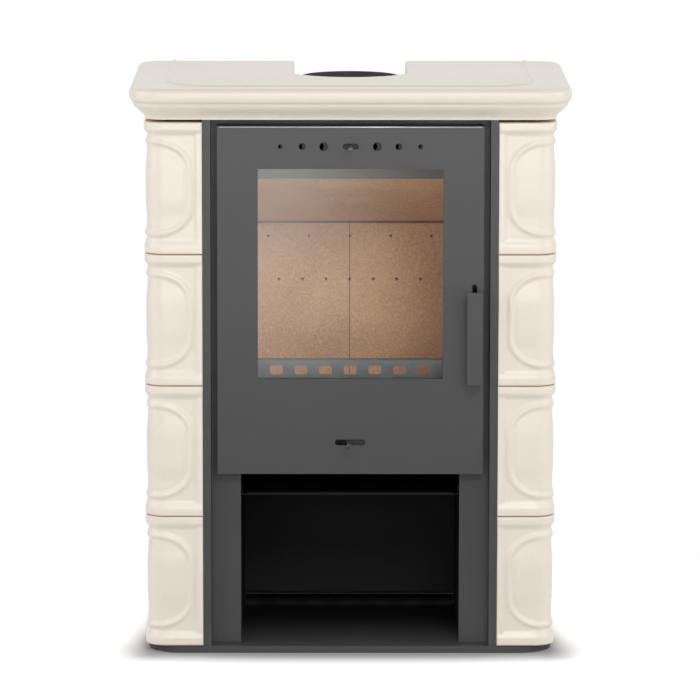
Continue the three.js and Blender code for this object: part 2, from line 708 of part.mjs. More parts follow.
// Place and outward direction at a distance along a tile: front leg, rounded corner, side leg.
function tileStation(distance) {
  const bend = (distance - TILE_FRONT_RUN) / TILE_BEND;
  const angle = THREE.MathUtils.clamp(bend, 0, 1) * Math.PI / 2;
  const out = new THREE.Vector3(Math.sin(angle), -Math.cos(angle), 0);
  const along = Math.max(distance - TILE_FRONT_RUN - TILE_BEND, 0);
  const x = Math.min(TILE_START + distance, CLAD_HALF - CLAD_CORNER);
  const place = new THREE.Vector3(x, atDepth(CLAD_CORNER + along), 0);
  place.addScaledVector(out, CLAD_CORNER);
  return { place, out };
}

// Section of a tile from foot to top: its relief outside, a wall with a rim at the foot and the
// top inside.
function tileSection() {
  const height = TILE_HEIGHT;
  const lower = TILE_FOOT_RELIEF.map(([rise, outset]) => [outset, rise]);
  const upper = TILE_TOP_RELIEF.map(([drop, outset]) => [outset, height - drop]).reverse();
  const inside = [
    [-TILE_RIM_DEPTH, height],
    [-TILE_RIM_DEPTH, height - TILE_RIM],
    [-TILE_WALL, height - TILE_RIM],
    [-TILE_WALL, TILE_RIM],
    [-TILE_RIM_DEPTH, TILE_RIM],
    [-TILE_RIM_DEPTH, 0],
  ];
  return [...lower, ...upper, ...inside];
}

function tileBody() {
  const distances = [0];
  for (let k = 0; k <= TILE_BEND_STEPS; k += 1) {
    distances.push(TILE_FRONT_RUN + TILE_BEND * k / TILE_BEND_STEPS);
  }
  distances.push(TILE_LENGTH);
  return carried(tileSection(), distances.map(tileStation), UPWARDS, false);
}

// Raised ridge that frames the field of a tile like an arch, laid round the tile's bend.
function tileRidge() {
  const near = RIDGE_SIDE_INSET + RIDGE_CORNER_LENGTH;
  const far = TILE_LENGTH - near;
  const low = RIDGE_FOOT_INSET + RIDGE_CORNER_HEIGHT;
  const high = TILE_HEIGHT - RIDGE_TOP_INSET - RIDGE_CORNER_HEIGHT;
  const corners = [[far, high, 0], [near, high, 1], [near, low, 2], [far, low, 3]];
  const line = [];
  for (const [s, z, start] of corners) {
    for (let k = 0; k <= RIDGE_TURNS; k += 1) {
      line.push(ridgePoint(s, z, (start + k / RIDGE_TURNS) * Math.PI / 2));
    }
    if (start === 0) {
      line.push(...bendLine(near, high, 1).reverse());
    }
    if (start === 2) {
      line.push(...bendLine(near, low, -1));
    }
  }
  const half = RIDGE_WIDTH / 2;
  const crest = RIDGE_CREST / 2;
  const section = [
    [half, -RIDGE_SINK],
    [crest, RIDGE_OUTSET],
    [-crest, RIDGE_OUTSET],
    [-half, -RIDGE_SINK],
  ];
  const positions = line.flatMap(({ s, z, across }) => section.flatMap(([w, outset]) => {
    const { place, out } = tileStation(s + across[0] * w);
    const point = place.addScaledVector(out, outset);
    return [point.x, point.y, z + across[1] * w];
  }));
  return closedGeometry(positions, ringWalls(line.length, section.length, true));
}

// Point of an elliptical corner of the ridge, and the direction across the ridge there.
function ridgePoint(s, z, angle) {
  const across = new THREE.Vector2(
    Math.cos(angle) * RIDGE_CORNER_HEIGHT,
    Math.sin(angle) * RIDGE_CORNER_LENGTH,
  ).normalize();
  return {
    s: s + Math.cos(angle) * RIDGE_CORNER_LENGTH,
    z: z + Math.sin(angle) * RIDGE_CORNER_HEIGHT,
    across: across.toArray(),
  };
}

// Extra points of the ridge where its top or foot run goes round the bend of the tile.
function bendLine(near, z, side) {
  const run = [];
  for (let k = 0; k <= TILE_BEND_STEPS; k += 1) {
    const s = TILE_FRONT_RUN + TILE_BEND * k / TILE_BEND_STEPS;
    if (s > near) {
      run.push({ s, z: z + side * RIDGE_CORNER_HEIGHT, across: [0, side] });
    }
  }
  return run;
}

function cladTile(row) {
  const tile = join(tileBody(), tileRidge());
  const foot = BASE_HEIGHT + TILE_JOINT + row * (TILE_HEIGHT + TILE_JOINT);
  tile.translate(0, 0, foot);
  return tile;
}

// ---------------------------------------------------------------- ceramic slab

const CYMA_STEPS = 5;
const TORUS_STEPS = 3; // on each side of its widest line

// Heights and outsets of the cornice: a cyma from the foot, a small step, then a torus.
function corniceLevels() {
  const levels = [];
  for (let k = 0; k <= CYMA_STEPS; k += 1) {
    const t = k / CYMA_STEPS;
    const swing = (1 - Math.cos(Math.PI * t)) / 2;
    levels.push([SLAB_FOOT_OUTSET + CYMA_OUTSET * swing, SLAB_FOOT + CYMA_RISE * t]);
  }
  const base = SLAB_FOOT_OUTSET + CYMA_OUTSET + CORNICE_STEP;
  const widest = SLAB_TOP - TORUS_UPPER;
  for (let k = 0; k <= TORUS_STEPS; k += 1) {
    const angle = k / TORUS_STEPS * Math.PI / 2;
    levels.push([base + TORUS_SWELL * Math.sin(angle), widest - TORUS_LOWER * Math.cos(angle)]);
  }
  for (let k = 1; k <= TORUS_STEPS; k += 1) {
    const angle = k / TORUS_STEPS * Math.PI / 2;
    const outset = base + TORUS_SWELL - TORUS_UPPER * (1 - Math.cos(angle));
    levels.push([outset, widest + TORUS_UPPER * Math.sin(angle)]);
  }
  return levels;
}

// Stations round the slab. The cornice runs round the front corners, and ends at a flat rear edge.
function slabStations() {
  const quarter = (half, depth, radius, start, out) => {
    const steps = 6;
    return Array.from({ length: steps + 1 }, (_, k) => {
      const angle = (start + k / steps) * Math.PI / 2;
      const direction = new THREE.Vector3(Math.cos(angle), Math.sin(angle), 0);
      const place = new THREE.Vector3(half, atDepth(depth), 0).addScaledVector(direction, radius);
      return { place, out: out ?? direction };
    });
  };
  const frontX = CLAD_HALF - CLAD_CORNER;
  const rearX = CLAD_HALF - SLAB_REAR_CORNER;
  const rearDepth = SLAB_REAR - SLAB_REAR_CORNER;
  return [
    ...quarter(rearX, rearDepth, SLAB_REAR_CORNER, 0, new THREE.Vector3(1, 0, 0)),
    ...quarter(-rearX, rearDepth, SLAB_REAR_CORNER, 1, new THREE.Vector3(-1, 0, 0)),
    ...quarter(-frontX, CLAD_CORNER, CLAD_CORNER, 2),
    ...quarter(frontX, CLAD_CORNER, CLAD_CORNER, 3),
  ];
}

function slabBody() {
  const stations = slabStations();
  const levels = corniceLevels();
  const ring = (outset, z) => stations.map(({ place, out }) => (
    place.clone().addScaledVector(out, outset).setZ(z).toArray()
  ));
  const rings = levels.map(([outset, z]) => ring(outset, z));
  const walls = ringWalls(rings.length, stations.length, false);
  const foot = rings[0].map(([x, y]) => new THREE.Vector2(x, y));
  const cap = THREE.ShapeUtils.triangulateShape(foot, []);
  const end = (rings.length - 1) * stations.length;
  const faces = cap.flatMap(([p, q, r]) => [p, r, q, end + p, end + q, end + r]);
  return closedGeometry(rings.flat(2), [...walls.reverse(), ...faces]);
}

// Notch for the flue pipe, open to the rear edge; grown by a margin it gives the rib round it.
function flueNotch(margin) {
  const radius = NOTCH_RADIUS + margin;
  const shape = new THREE.Shape();
  shape.moveTo(radius, SLAB_REAR + 1);
  shape.lineTo(-radius, SLAB_REAR + 1);
  shape.absarc(0, FLUE_DEPTH, radius, Math.PI, 2 * Math.PI);
  return shape;
}

function topSlab() {
  const hollowTop = SLAB_TOP - SLAB_THICKNESS;
  const hollowLevels = [SLAB_FOOT - 1, hollowTop];
  const reach = [SLAB_WALL + SLAB_FOOT_OUTSET, SLAB_REAR - SLAB_WALL];
  const ribMiddle = PANEL_HALF - PANEL_SEAT / 2;
  const ribInner = ribMiddle - SLAB_RIB / 2;
  const ribOuter = ribMiddle + SLAB_RIB / 2;
  const wallInner = CLAD_HALF + SLAB_FOOT_OUTSET - SLAB_WALL;
  const middle = cut(
    block([-ribInner, ribInner], reach, hollowLevels),
    planShape(flueNotch(SLAB_WALL / 2), [SLAB_FOOT - 2, SLAB_TOP + 1], 20),
  );
  return cut(
    slabBody(),
    planShape(flueNotch(0), [SLAB_FOOT - 2, SLAB_TOP + 2], 20),
    middle,
    block([ribOuter, wallInner], reach, hollowLevels),
    block([-wallInner, -ribOuter], reach, hollowLevels),
  );
}

// ---------------------------------------------------------------- firebox lining

// Height of the underside of the sloping baffle at a depth.
function baffleUnderside(depth) {
  const slope = (BAFFLE_FRONT_HEIGHT - BAFFLE_REAR_HEIGHT) / (REAR_LINER_FRONT - BAFFLE_FRONT_DEPTH);
  return BAFFLE_FRONT_HEIGHT - Math.max(depth - BAFFLE_FRONT_DEPTH, 0) * slope;
}

// Right half of the rear lining; the middle joint is at x = 0, and air jets pierce it.
function rearLiner() {
  const edge = FIREBOX_INNER - FIT;
  const joint = REAR_LINER_JOINT / 2;
  const plate = block([joint, edge], [REAR_LINER_FRONT, FIREBOX_BACK - FIT], [ON_FLOOR, REAR_LINER_TOP]);
  const jets = [];
  for (const [drop, spacing, count] of AIR_JETS) {
    const z = REAR_LINER_TOP - drop;
    for (let k = 0; k <= count; k += 1) {
      jets.push(pinAlongY(k * spacing, [REAR_LINER_FRONT - 1, FIREBOX_BACK], z, AIR_JET_DIAMETER, 8));
    }
  }
  return cut(plate, ...jets);
}

function sideLiner() {
  const front = BEHIND_FRONT_PANEL + FIT;
  const rear = REAR_LINER_FRONT - FIT;
  const section = polygon([
    [front, ON_FLOOR],
    [rear, ON_FLOOR],
    [rear, baffleUnderside(rear) - FIT],
    [BAFFLE_FRONT_DEPTH, BAFFLE_FRONT_HEIGHT - FIT],
    [front, BAFFLE_FRONT_HEIGHT - FIT],
  ]);
  return sideShape(section, [LINER_INNER, LINER_INNER + LINER]);
}

function baffle() {
  const rise = BAFFLE_THICKNESS;
  const section = polygon([
    [BAFFLE_FRONT_DEPTH, BAFFLE_FRONT_HEIGHT],
    [REAR_LINER_FRONT, BAFFLE_REAR_HEIGHT],
    [FIREBOX_BACK - FIT, BAFFLE_REAR_HEIGHT],
    [FIREBOX_BACK - FIT, BAFFLE_REAR_HEIGHT + rise],
    [REAR_LINER_FRONT, BAFFLE_REAR_HEIGHT + rise],
    [BAFFLE_FRONT_DEPTH, BAFFLE_FRONT_HEIGHT + rise],
  ]);
  return sideShape(section, [-FIREBOX_INNER + FIT, FIREBOX_INNER - FIT]);
}

function grateShelf() {
  const edge = FIREBOX_INNER - FIT;
  const ends = [BEHIND_FRONT_PANEL, FIREBOX_BACK - FIT];
  const halfWidth = GRATE_WIDTH / 2 - GRATE_LEDGE;
  const halfLength = GRATE_LENGTH / 2 - GRATE_LEDGE;
  return cut(
    block([-edge, edge], ends, [SHELF_TOP - SHELF_SHEET, SHELF_TOP]),
    block(
      [-halfWidth, halfWidth],
      [GRATE_DEPTH - halfLength, GRATE_DEPTH + halfLength],
      [SHELF_TOP - SHELF_SHEET - 1, SHELF_TOP + 1],
    ),
  );
}

function floorLiner() {
  const edge = FIREBOX_INNER - FIT;
  const ends = [BEHIND_FRONT_PANEL + FIT, FIREBOX_BACK - FIT];
  const halfWidth = GRATE_WIDTH / 2 + FIT;
  const halfLength = GRATE_LENGTH / 2 + FIT;
  return cut(
    block([-edge, edge], ends, [SHELF_TOP + FIT, FLOOR_TOP]),
    block(
      [-halfWidth, halfWidth],
      [GRATE_DEPTH - halfLength, GRATE_DEPTH + halfLength],
      [SHELF_TOP - 1, FLOOR_TOP + 1],
    ),
  );
}

function grate() {
  const shape = roundedRect(0, GRATE_DEPTH, GRATE_WIDTH, GRATE_LENGTH, GRATE_CORNER);
  const pitch = (GRATE_WIDTH - 2 * GRATE_LEDGE) / GRATE_SLOTS;
  const length = GRATE_LENGTH - 4 * GRATE_LEDGE;
  for (let k = 0; k < GRATE_SLOTS; k += 1) {
    const x = (k - (GRATE_SLOTS - 1) / 2) * pitch;
    shape.holes.push(roundedRect(x, GRATE_DEPTH, GRATE_SLOT, length, GRATE_SLOT / 2, THREE.Path));
  }
  return planShape(shape, [SHELF_TOP + FIT, SHELF_TOP + FIT + GRATE_THICKNESS], 1);
}

// Log retainer: an upright plate with a row of holes and a top flange turned to the rear.
function logRetainer() {
  const front = RETAINER_DEPTH;
  const back = RETAINER_DEPTH + RETAINER_SHEET;
  const edge = LINER_INNER - FIT;
  const section = polygon([
    [front, ON_FLOOR],
    [back, ON_FLOOR],
    [back, RETAINER_TOP - RETAINER_SHEET],
    [back + RETAINER_FLANGE, RETAINER_TOP - RETAINER_SHEET],
    [back + RETAINER_FLANGE, RETAINER_TOP],
    [front + RETAINER_BEND, RETAINER_TOP],
    [front, RETAINER_TOP - RETAINER_BEND],
  ]);
  const holes = [];
  for (let k = 0; k < RETAINER_HOLES; k += 1) {
    const x = (k - (RETAINER_HOLES - 1) / 2) * RETAINER_PITCH;
    const hole = roundedRect(
      x,
      RETAINER_HOLE_MIDDLE,
      RETAINER_HOLE_WIDTH,
      RETAINER_HOLE_HEIGHT,
      RETAINER_HOLE_RADIUS,
    );
    holes.push(frontShape(hole, [front - 1, back + 1], 2));
  }
  return cut(sideShape(section, [-edge, edge]), ...holes);
}

function ashDrawer() {
  const low = FIREBOX_BOTTOM + FIREBOX_SHEET + FIT;
  const high = SHELF_TOP - SHELF_SHEET - DRAWER_TOP_GAP;
  const half = FIREBOX_INNER - DRAWER_SIDE_GAP;
  const back = FIREBOX_BACK - DRAWER_REAR_GAP;
  const tray = cut(
    block([-half, half], [DRAWER_FRONT, back], [low, high]),
    block(
      [DRAWER_SHEET - half, half - DRAWER_SHEET],
      [DRAWER_FRONT + DRAWER_SHEET, back - DRAWER_SHEET],
      [low + DRAWER_SHEET, high + 1],
    ),
  );
  const lipHalf = half / 2;
  const lip = block(
    [-lipHalf, lipHalf],
    [DRAWER_FRONT + DRAWER_SHEET - DRAWER_LIP, DRAWER_FRONT + DRAWER_SHEET],
    [high - DRAWER_SHEET, high],
  );
  return join(tray, lip);
}

// ---------------------------------------------------------------- door

function slotCutter(x, z, width, height, ends) {
  return frontShape(roundedRect(x, z, width, height, Math.min(width, height) / 2), ends, 3);
}

function hingeLugLevels() {
  const half = HINGE_LUG_THICKNESS / 2;
  return [DOOR_TOP - HINGE_END_DISTANCE, DOOR_BOTTOM + HINGE_END_DISTANCE].map((z) => (
    [z - half, z + half]
  ));
}

// Door skin folded into a tray, with the window, the air holes and the slot for the latch lever.
function doorPlate() {
  const inner = DOOR_HALF - DOOR_SHEET;
  const through = [-1, DOOR_SHEET + 1];
  const tray = block([-DOOR_HALF, DOOR_HALF], [0, DOOR_DEPTH], [DOOR_BOTTOM, DOOR_TOP]);
  const tools = [
    block([-inner, inner], [DOOR_SHEET, DOOR_DEPTH + 1], [DOOR_BOTTOM + DOOR_SHEET, DOOR_TOP - DOOR_SHEET]),
    block(
      [-WINDOW_WIDTH / 2, WINDOW_WIDTH / 2],
      through,
      [WINDOW_BOTTOM, WINDOW_BOTTOM + WINDOW_HEIGHT],
    ),
    slotCutter(0, AIR_TOP, AIR_TOP_SLOT, AIR_SLOT_HEIGHT, through),
    slotCutter(0, AIR_BOTTOM, AIR_BOTTOM_SLOT, AIR_SLOT_HEIGHT, through),
    slotCutter(
      LATCH_CENTRE,
      (LEVER_SLOT_TOP + LEVER_SLOT_BOTTOM) / 2,
      LEVER_SLOT,
      LEVER_SLOT_TOP - LEVER_SLOT_BOTTOM,
      through,
    ),
    block(
      [-DOOR_HALF - 1, HINGE_X + HINGE_LUG_RADIUS],
      [HINGE_SIDE_DEPTH, DOOR_DEPTH + 1],
      [DOOR_BOTTOM - 1, DOOR_TOP + 1],
    ),
  ];
  for (const side of [-1, 1]) {
    for (const [x, diameter] of AIR_HOLES) {
      tools.push(pinAlongY(side * x, through, AIR_TOP, diameter, 14));
    }
  }
  for (const [low, high] of hingeLugLevels()) {
    tools.push(block(
      [-DOOR_HALF - 1, -inner + FIT],
      [DOOR_SHEET, HINGE_SIDE_DEPTH + 1],
      [low - HINGE_CLEARANCE, high + HINGE_CLEARANCE],
    ));
  }
  return cut(tray, ...tools);
}

// Frame behind the door skin: one leg stands on the skin, a channel outside it holds the rope.
function doorFrame() {
  const sheet = CHANNEL_SHEET;
  const rear = DOOR_DEPTH - CHANNEL_RECESS;
  const floor = rear - CHANNEL_DEPTH;
  const width = ROPE_DIAMETER + 2 * FIT + 2 * sheet;
  const profile = [
    [0, BEHIND_DOOR_SHEET],
    [sheet, BEHIND_DOOR_SHEET],
    [sheet, floor],
    [width, floor],
    [width, rear],
    [width - sheet, rear],
    [width - sheet, floor + sheet],
    [sheet, floor + sheet],
    [sheet, rear],
    [0, rear],
  ];
  const middle = (MOUTH_BOTTOM + MOUTH_TOP) / 2;
  const stations = frameStations(MOUTH_HALF, (MOUTH_TOP - MOUTH_BOTTOM) / 2, middle, 0);
  return carried(profile, stations, DEPTHWARDS, true);
}

// Rope seal, pressed by the door against the front panel.
function ropeSeal() {
  const radius = ROPE_DIAMETER / 2;
  const outset = CHANNEL_SHEET + FIT + radius;
  const depth = FRONT_RECESS - FIT - radius;
  const sides = 8;
  const profile = Array.from({ length: sides }, (_, k) => {
    const angle = (k + 0.5) / sides * 2 * Math.PI;
    const reach = radius / Math.cos(Math.PI / sides);
    return [reach * Math.cos(angle), depth + reach * Math.sin(angle)];
  });
  const middle = (MOUTH_BOTTOM + MOUTH_TOP) / 2;
  const halfHeight = (MOUTH_TOP - MOUTH_BOTTOM) / 2 + outset;
  const stations = frameStations(MOUTH_HALF + outset, halfHeight, middle, 0);
  return carried(profile, stations, DEPTHWARDS, true);
}

// Flat woven tape between the door skin and the glass.
function glassTape() {
  const halfWidth = WINDOW_WIDTH / 2 + GLASS_LAP - TAPE_WIDTH;
  const halfHeight = WINDOW_HEIGHT / 2 + GLASS_LAP - TAPE_WIDTH;
  const rear = BEHIND_DOOR_SHEET + TAPE_THICKNESS;
  const profile = [
    [0, BEHIND_DOOR_SHEET],
    [TAPE_WIDTH, BEHIND_DOOR_SHEET],
    [TAPE_WIDTH, rear],
    [0, rear],
  ];
  return carried(profile, frameStations(halfWidth, halfHeight, WINDOW_MIDDLE, 0), DEPTHWARDS, true);
}

function doorGlass() {
  const width = WINDOW_WIDTH + 2 * GLASS_LAP;
  const height = WINDOW_HEIGHT + 2 * GLASS_LAP;
  const shape = roundedRect(0, WINDOW_MIDDLE, width, height, GLASS_CORNER);
  return frontShape(shape, [GLASS_FRONT, GLASS_FRONT + GLASS_THICKNESS], 3);
}

// Strip that holds one side of the glass against the tape.
function glassRail() {
  const edge = WINDOW_WIDTH / 2 + GLASS_LAP + RAIL_GAP;
  const behindGlass = GLASS_FRONT + GLASS_THICKNESS + FIT;
  const lip = WINDOW_WIDTH / 2 + RAIL_SHEET;
  const plan = polygon([
    [edge, BEHIND_DOOR_SHEET],
    [edge + RAIL_FOOT, BEHIND_DOOR_SHEET],
    [edge + RAIL_FOOT, behindGlass + RAIL_SHEET],
    [lip, behindGlass + RAIL_SHEET],
    [lip, behindGlass],
    [edge, behindGlass],
  ]);
  return planShape(plan, [WINDOW_BOTTOM, WINDOW_BOTTOM + WINDOW_HEIGHT]);
}

// ---------------------------------------------------------------- hinges

// Lug welded to the front panel; the pin of the door turns in its rounded end.
function hingeLug([low, high]) {
  const shape = new THREE.Shape();
  const rear = FRONT_RECESS - FIT;
  shape.moveTo(HINGE_X + HINGE_LUG_RADIUS, rear);
  shape.lineTo(HINGE_X - HINGE_LUG_RADIUS + HINGE_LUG_TAPER, rear);
  shape.absarc(HINGE_X, HINGE_INSET, HINGE_LUG_RADIUS, Math.PI, 2 * Math.PI);
  const lug = planShape(shape, [low, high], 10);
  return cut(lug, pinAlongZ(HINGE_X, HINGE_INSET, [low - 1, high + 1], HINGE_PIN + 2 * FIT));
}

// Tab on the door with the hinge pin welded in; the tab rests on the lug and carries the door.
function hingePin([low, high]) {
  const half = HINGE_LUG_RADIUS - FIT;
  const levels = [high + FIT, high + FIT + HINGE_LUG_THICKNESS];
  const shape = new THREE.Shape();
  shape.moveTo(HINGE_X - half, BEHIND_DOOR_SHEET);
  shape.lineTo(HINGE_X + half, BEHIND_DOOR_SHEET);
  shape.lineTo(HINGE_X + half, HINGE_INSET);
  shape.absarc(HINGE_X, HINGE_INSET, half, 0, Math.PI);
  const pin = pinAlongZ(HINGE_X, HINGE_INSET, [low - HINGE_PIN_TAIL, levels[1] + 1], HINGE_PIN);
  return join(planShape(shape, levels, 10), pin);
}

// ---------------------------------------------------------------- air controls

const SLIDER_LEVELS = [BEHIND_DOOR_SHEET, BEHIND_DOOR_SHEET + SLIDER_SHEET];

// Channel behind the door skin in which a slider runs; its back is open to the air.
function sliderGuide(z, halfWindow) {
  const halfLength = halfWindow + GUIDE_LAP;
  const half = SLIDER_HEIGHT / 2 + FIT;
  const back = SLIDER_LEVELS[1] + FIT;
  const sheet = GUIDE_SHEET;
  const section = polygon([
    [BEHIND_DOOR_SHEET, z - half - sheet],
    [back + sheet, z - half - sheet],
    [back + sheet, z + half + sheet],
    [BEHIND_DOOR_SHEET, z + half + sheet],
    [BEHIND_DOOR_SHEET, z + half],
    [back, z + half],
    [back, z - half],
    [BEHIND_DOOR_SHEET, z - half],
  ]);
  const windowHeight = SLIDER_HEIGHT - 2 * GUIDE_LIP;
  const window = slotCutter(0, z, 2 * halfWindow, windowHeight, [back - 1, back + sheet + 1]);
  return cut(sideShape(section, [-halfLength, halfLength]), window);
}

// Upper slider: one opening for each air hole. In its middle place it covers the right half of
// every hole, and its travel opens or closes them all.
function upperSlider() {
  const [[, widest]] = AIR_HOLES;
  const [outermost] = AIR_HOLES.at(-1);
  const slotWidth = widest / 2 + (AIR_TOP_SLOT - KNOB_DIAMETER) / 2;
  const low = AIR_TOP - SLIDER_HEIGHT / 2;
  const ends = [SLIDER_LEVELS[0] - 1, SLIDER_LEVELS[1] + 1];
  const plate = block(
    [-outermost - slotWidth - SLIDER_EDGE, outermost + SLIDER_EDGE],
    SLIDER_LEVELS,
    [low, low + SLIDER_HEIGHT],
  );
  const tools = [pinAlongY(0, ends, AIR_TOP, KNOB_SHANK + 2 * FIT, 12)];
  for (const side of [-1, 1]) {
    for (const [x] of AIR_HOLES) {
      const middle = side * x - slotWidth / 2;
      tools.push(slotCutter(middle, AIR_TOP, slotWidth, widest, ends));
    }
  }
  return cut(plate, ...tools);
}

// Lower slider: a plate to the right of its knob covers that much of the air slot.
function lowerSlider() {
  const low = AIR_BOTTOM - SLIDER_HEIGHT / 2;
  const left = AIR_BOTTOM_REST - KNOB_DIAMETER / 2 - KNOB_BEVEL;
  const plate = block(
    [left, AIR_BOTTOM_REST + AIR_BOTTOM_SLOT],
    SLIDER_LEVELS,
    [low, low + SLIDER_HEIGHT],
  );
  const ends = [SLIDER_LEVELS[0] - 1, SLIDER_LEVELS[1] + 1];
  return cut(plate, pinAlongY(AIR_BOTTOM_REST, ends, AIR_BOTTOM, KNOB_SHANK + 2 * FIT, 12));
}

// Turned knob: a round bar before the door and a thin shank through the slider. Its front edge is
// bevelled, and a cone-shaped centre hole is left in its front.
function airKnob(x, z) {
  const head = KNOB_DIAMETER / 2;
  const shank = KNOB_SHANK / 2;
  const dimple = KNOB_DIMPLE / 2;
  const shoulder = SLIDER_LEVELS[0] - FIT;
  const end = SLIDER_LEVELS[1] + FIT;
  const profile = [
    [0, dimple - KNOB_LENGTH],
    [dimple, -KNOB_LENGTH],
    [head - KNOB_BEVEL, -KNOB_LENGTH],
    [head, -KNOB_LENGTH + KNOB_BEVEL],
    [head, shoulder],
    [shank, shoulder],
    [shank, end],
    [0, end],
  ].map(([r, depth]) => new THREE.Vector2(r, depth));
  const geometry = new THREE.LatheGeometry(profile, 16);
  geometry.translate(x, atDepth(0), z);
  return geometry;
}

// ---------------------------------------------------------------- handle and latch

// Flat grip plate of the handle, with bevelled edges.
function handleGrip() {
  const bevel = GRIP_BEVEL;
  const x = LATCH_CENTRE - GRIP_OFFSET;
  const z = GRIP_BOTTOM + GRIP_HEIGHT / 2;
  const shape = roundedRect(x, z, GRIP_WIDTH - 2 * bevel, GRIP_HEIGHT - 2 * bevel, 1);
  const geometry = new THREE.ExtrudeGeometry(shape, {
    depth: GRIP_SHEET - 2 * bevel,
    bevelThickness: bevel,
    bevelSize: bevel,
    bevelSegments: 2,
    curveSegments: 2,
  });
  geometry.rotateX(Math.PI / 2);
  geometry.translate(0, atDepth(GRIP_SHEET - bevel - HANDLE_STANDOFF), 0);
  return geometry;
}

// Flat lever from the grip, through the door, to the hook behind the front panel.
function latchLever() {
  const gripBack = GRIP_SHEET + FIT - HANDLE_STANDOFF;
  const foot = PIVOT_HEIGHT - LEVER_FOOT_DROP;
  const bossLow = PIVOT_HEIGHT - LEVER_BOSS;
  const hookTop = bossLow + HOOK_THICKNESS;
  const noseTop = keeperLow() - KEEPER_CLEARANCE;
  const outline = [
    [gripBack, foot],
    [gripBack + LEVER_FOOT_DEPTH, foot],
    [-LEVER_BOSS, PIVOT_HEIGHT - PIVOT_DEPTH],
    [LEVER_SHEET, bossLow],
    [HOOK_REACH, bossLow + HOOK_TAPER],
    [HOOK_REACH, noseTop - HOOK_TAPER],
    [HOOK_REACH - HOOK_TAPER, noseTop],
    [HOOK_REACH - HOOK_NOSE_WIDTH, noseTop],
    [HOOK_REACH - HOOK_NOSE_WIDTH, hookTop],
    [PIVOT_DEPTH + LEVER_BOSS, hookTop],
  ];
  const shape = polygon(outline);
  const roundFrom = Math.asin((hookTop - PIVOT_HEIGHT) / LEVER_BOSS);
  shape.absarc(PIVOT_DEPTH, PIVOT_HEIGHT, LEVER_BOSS, roundFrom, Math.PI / 2);
  shape.lineTo(gripBack, PIVOT_HEIGHT + LEVER_BOSS);
  const sides = [LATCH_CENTRE - LEVER_SHEET / 2, LATCH_CENTRE + LEVER_SHEET / 2];
  const wide = [sides[0] - 1, sides[1] + 1];
  const hole = pinAlongX(wide, PIVOT_DEPTH, PIVOT_HEIGHT, PIVOT_DIAMETER + 2 * FIT);
  return cut(sideShape(shape, sides, 5), hole);
}

const EAR_SPAN = LEVER_SHEET + 2 * EAR_GAP;

// Bracket behind the door skin, with two ears that hold the pivot of the lever.
function latchBracket() {
  const outer = EAR_SPAN / 2 + EAR_SHEET;
  const web = [BEHIND_DOOR_SHEET, BEHIND_DOOR_SHEET + EAR_SHEET];
  const rear = PIVOT_DEPTH + BRACKET_REACH;
  const low = PIVOT_HEIGHT - BRACKET_HEIGHT / 2;
  const high = PIVOT_HEIGHT + BRACKET_HEIGHT / 2;
  const body = block([LATCH_CENTRE - outer, LATCH_CENTRE + outer], [web[0], rear], [low, high]);
  const between = block(
    [LATCH_CENTRE - EAR_SPAN / 2, LATCH_CENTRE + EAR_SPAN / 2],
    [web[1], rear + 1],
    [low - 1, high + 1],
  );
  const slot = block(
    [LATCH_CENTRE - LEVER_SLOT / 2, LATCH_CENTRE + LEVER_SLOT / 2],
    [web[0] - 1, web[1] + 1],
    [low + BRACKET_WEB, high + 1],
  );
  const wide = [LATCH_CENTRE - outer - 1, LATCH_CENTRE + outer + 1];
  const hole = pinAlongX(wide, PIVOT_DEPTH, PIVOT_HEIGHT, PIVOT_DIAMETER + 2 * FIT);
  return cut(body, between, slot, hole);
}

function latchPivot() {
  const reach = EAR_SPAN / 2 + EAR_SHEET + 1;
  const ends = [LATCH_CENTRE - reach, LATCH_CENTRE + reach];
  return pinAlongX(ends, PIVOT_DEPTH, PIVOT_HEIGHT, PIVOT_DIAMETER);
}

function keeperLow() {
  return PIVOT_HEIGHT + LEVER_BOSS + KEEPER_RISE;
}

// Angle behind the front panel; the nose of the hook lies under its lip.
function latchKeeper() {
  const low = keeperLow();
  const front = BEHIND_FRONT_PANEL;
  const section = polygon([
    [front, low],
    [front + KEEPER_LIP, low],
    [front + KEEPER_LIP, low + KEEPER_SHEET],
    [front + KEEPER_SHEET, low + KEEPER_SHEET],
    [front + KEEPER_SHEET, low + KEEPER_HEIGHT],
    [front, low + KEEPER_HEIGHT],
  ]);
  return sideShape(section, [LATCH_CENTRE - KEEPER_WIDTH / 2, LATCH_CENTRE + KEEPER_WIDTH / 2]);
}

// ---------------------------------------------------------------- assembly

add('base_tray', baseTray(), darkPaint());
const panel = sidePanel();
add('side_panel_right', panel, darkPaint());
add('side_panel_left', mirrored(panel), darkPaint());
add('front_panel', frontPanel(), darkPaint());
add('firebox_shell', fireboxShell(), darkPaint());
add('top_plate', topPlate(), darkPaint());
add('flue_collar', flueCollar(), darkPaint());
add('rear_shield', rearShield(), darkPaint());

add('store_liner', storeLiner(), darkPaint());
add('store_ceiling', storeCeiling(), darkPaint());
const rail = storeRail();
add('store_rail_right', rail, darkPaint());
add('store_rail_left', mirrored(rail), darkPaint());

for (let row = 0; row < TILE_ROWS; row += 1) {
  const tile = cladTile(row);
  add(`tile_right_${row + 1}`, tile, glaze());
  add(`tile_left_${row + 1}`, mirrored(tile), glaze());
}
add('top_slab', topSlab(), glaze());

const rearHalf = rearLiner();
add('rear_liner_right', rearHalf, vermiculite());
add('rear_liner_left', mirrored(rearHalf), vermiculite());
const sideHalf = sideLiner();
add('side_liner_right', sideHalf, vermiculite());
add('side_liner_left', mirrored(sideHalf), vermiculite());
add('floor_liner', floorLiner(), vermiculite());
add('baffle', baffle(), vermiculite());
add('grate_shelf', grateShelf(), darkPaint());
add('grate', grate(), castIron());
add('log_retainer', logRetainer(), blueSteel());
add('ash_drawer', ashDrawer(), darkPaint());

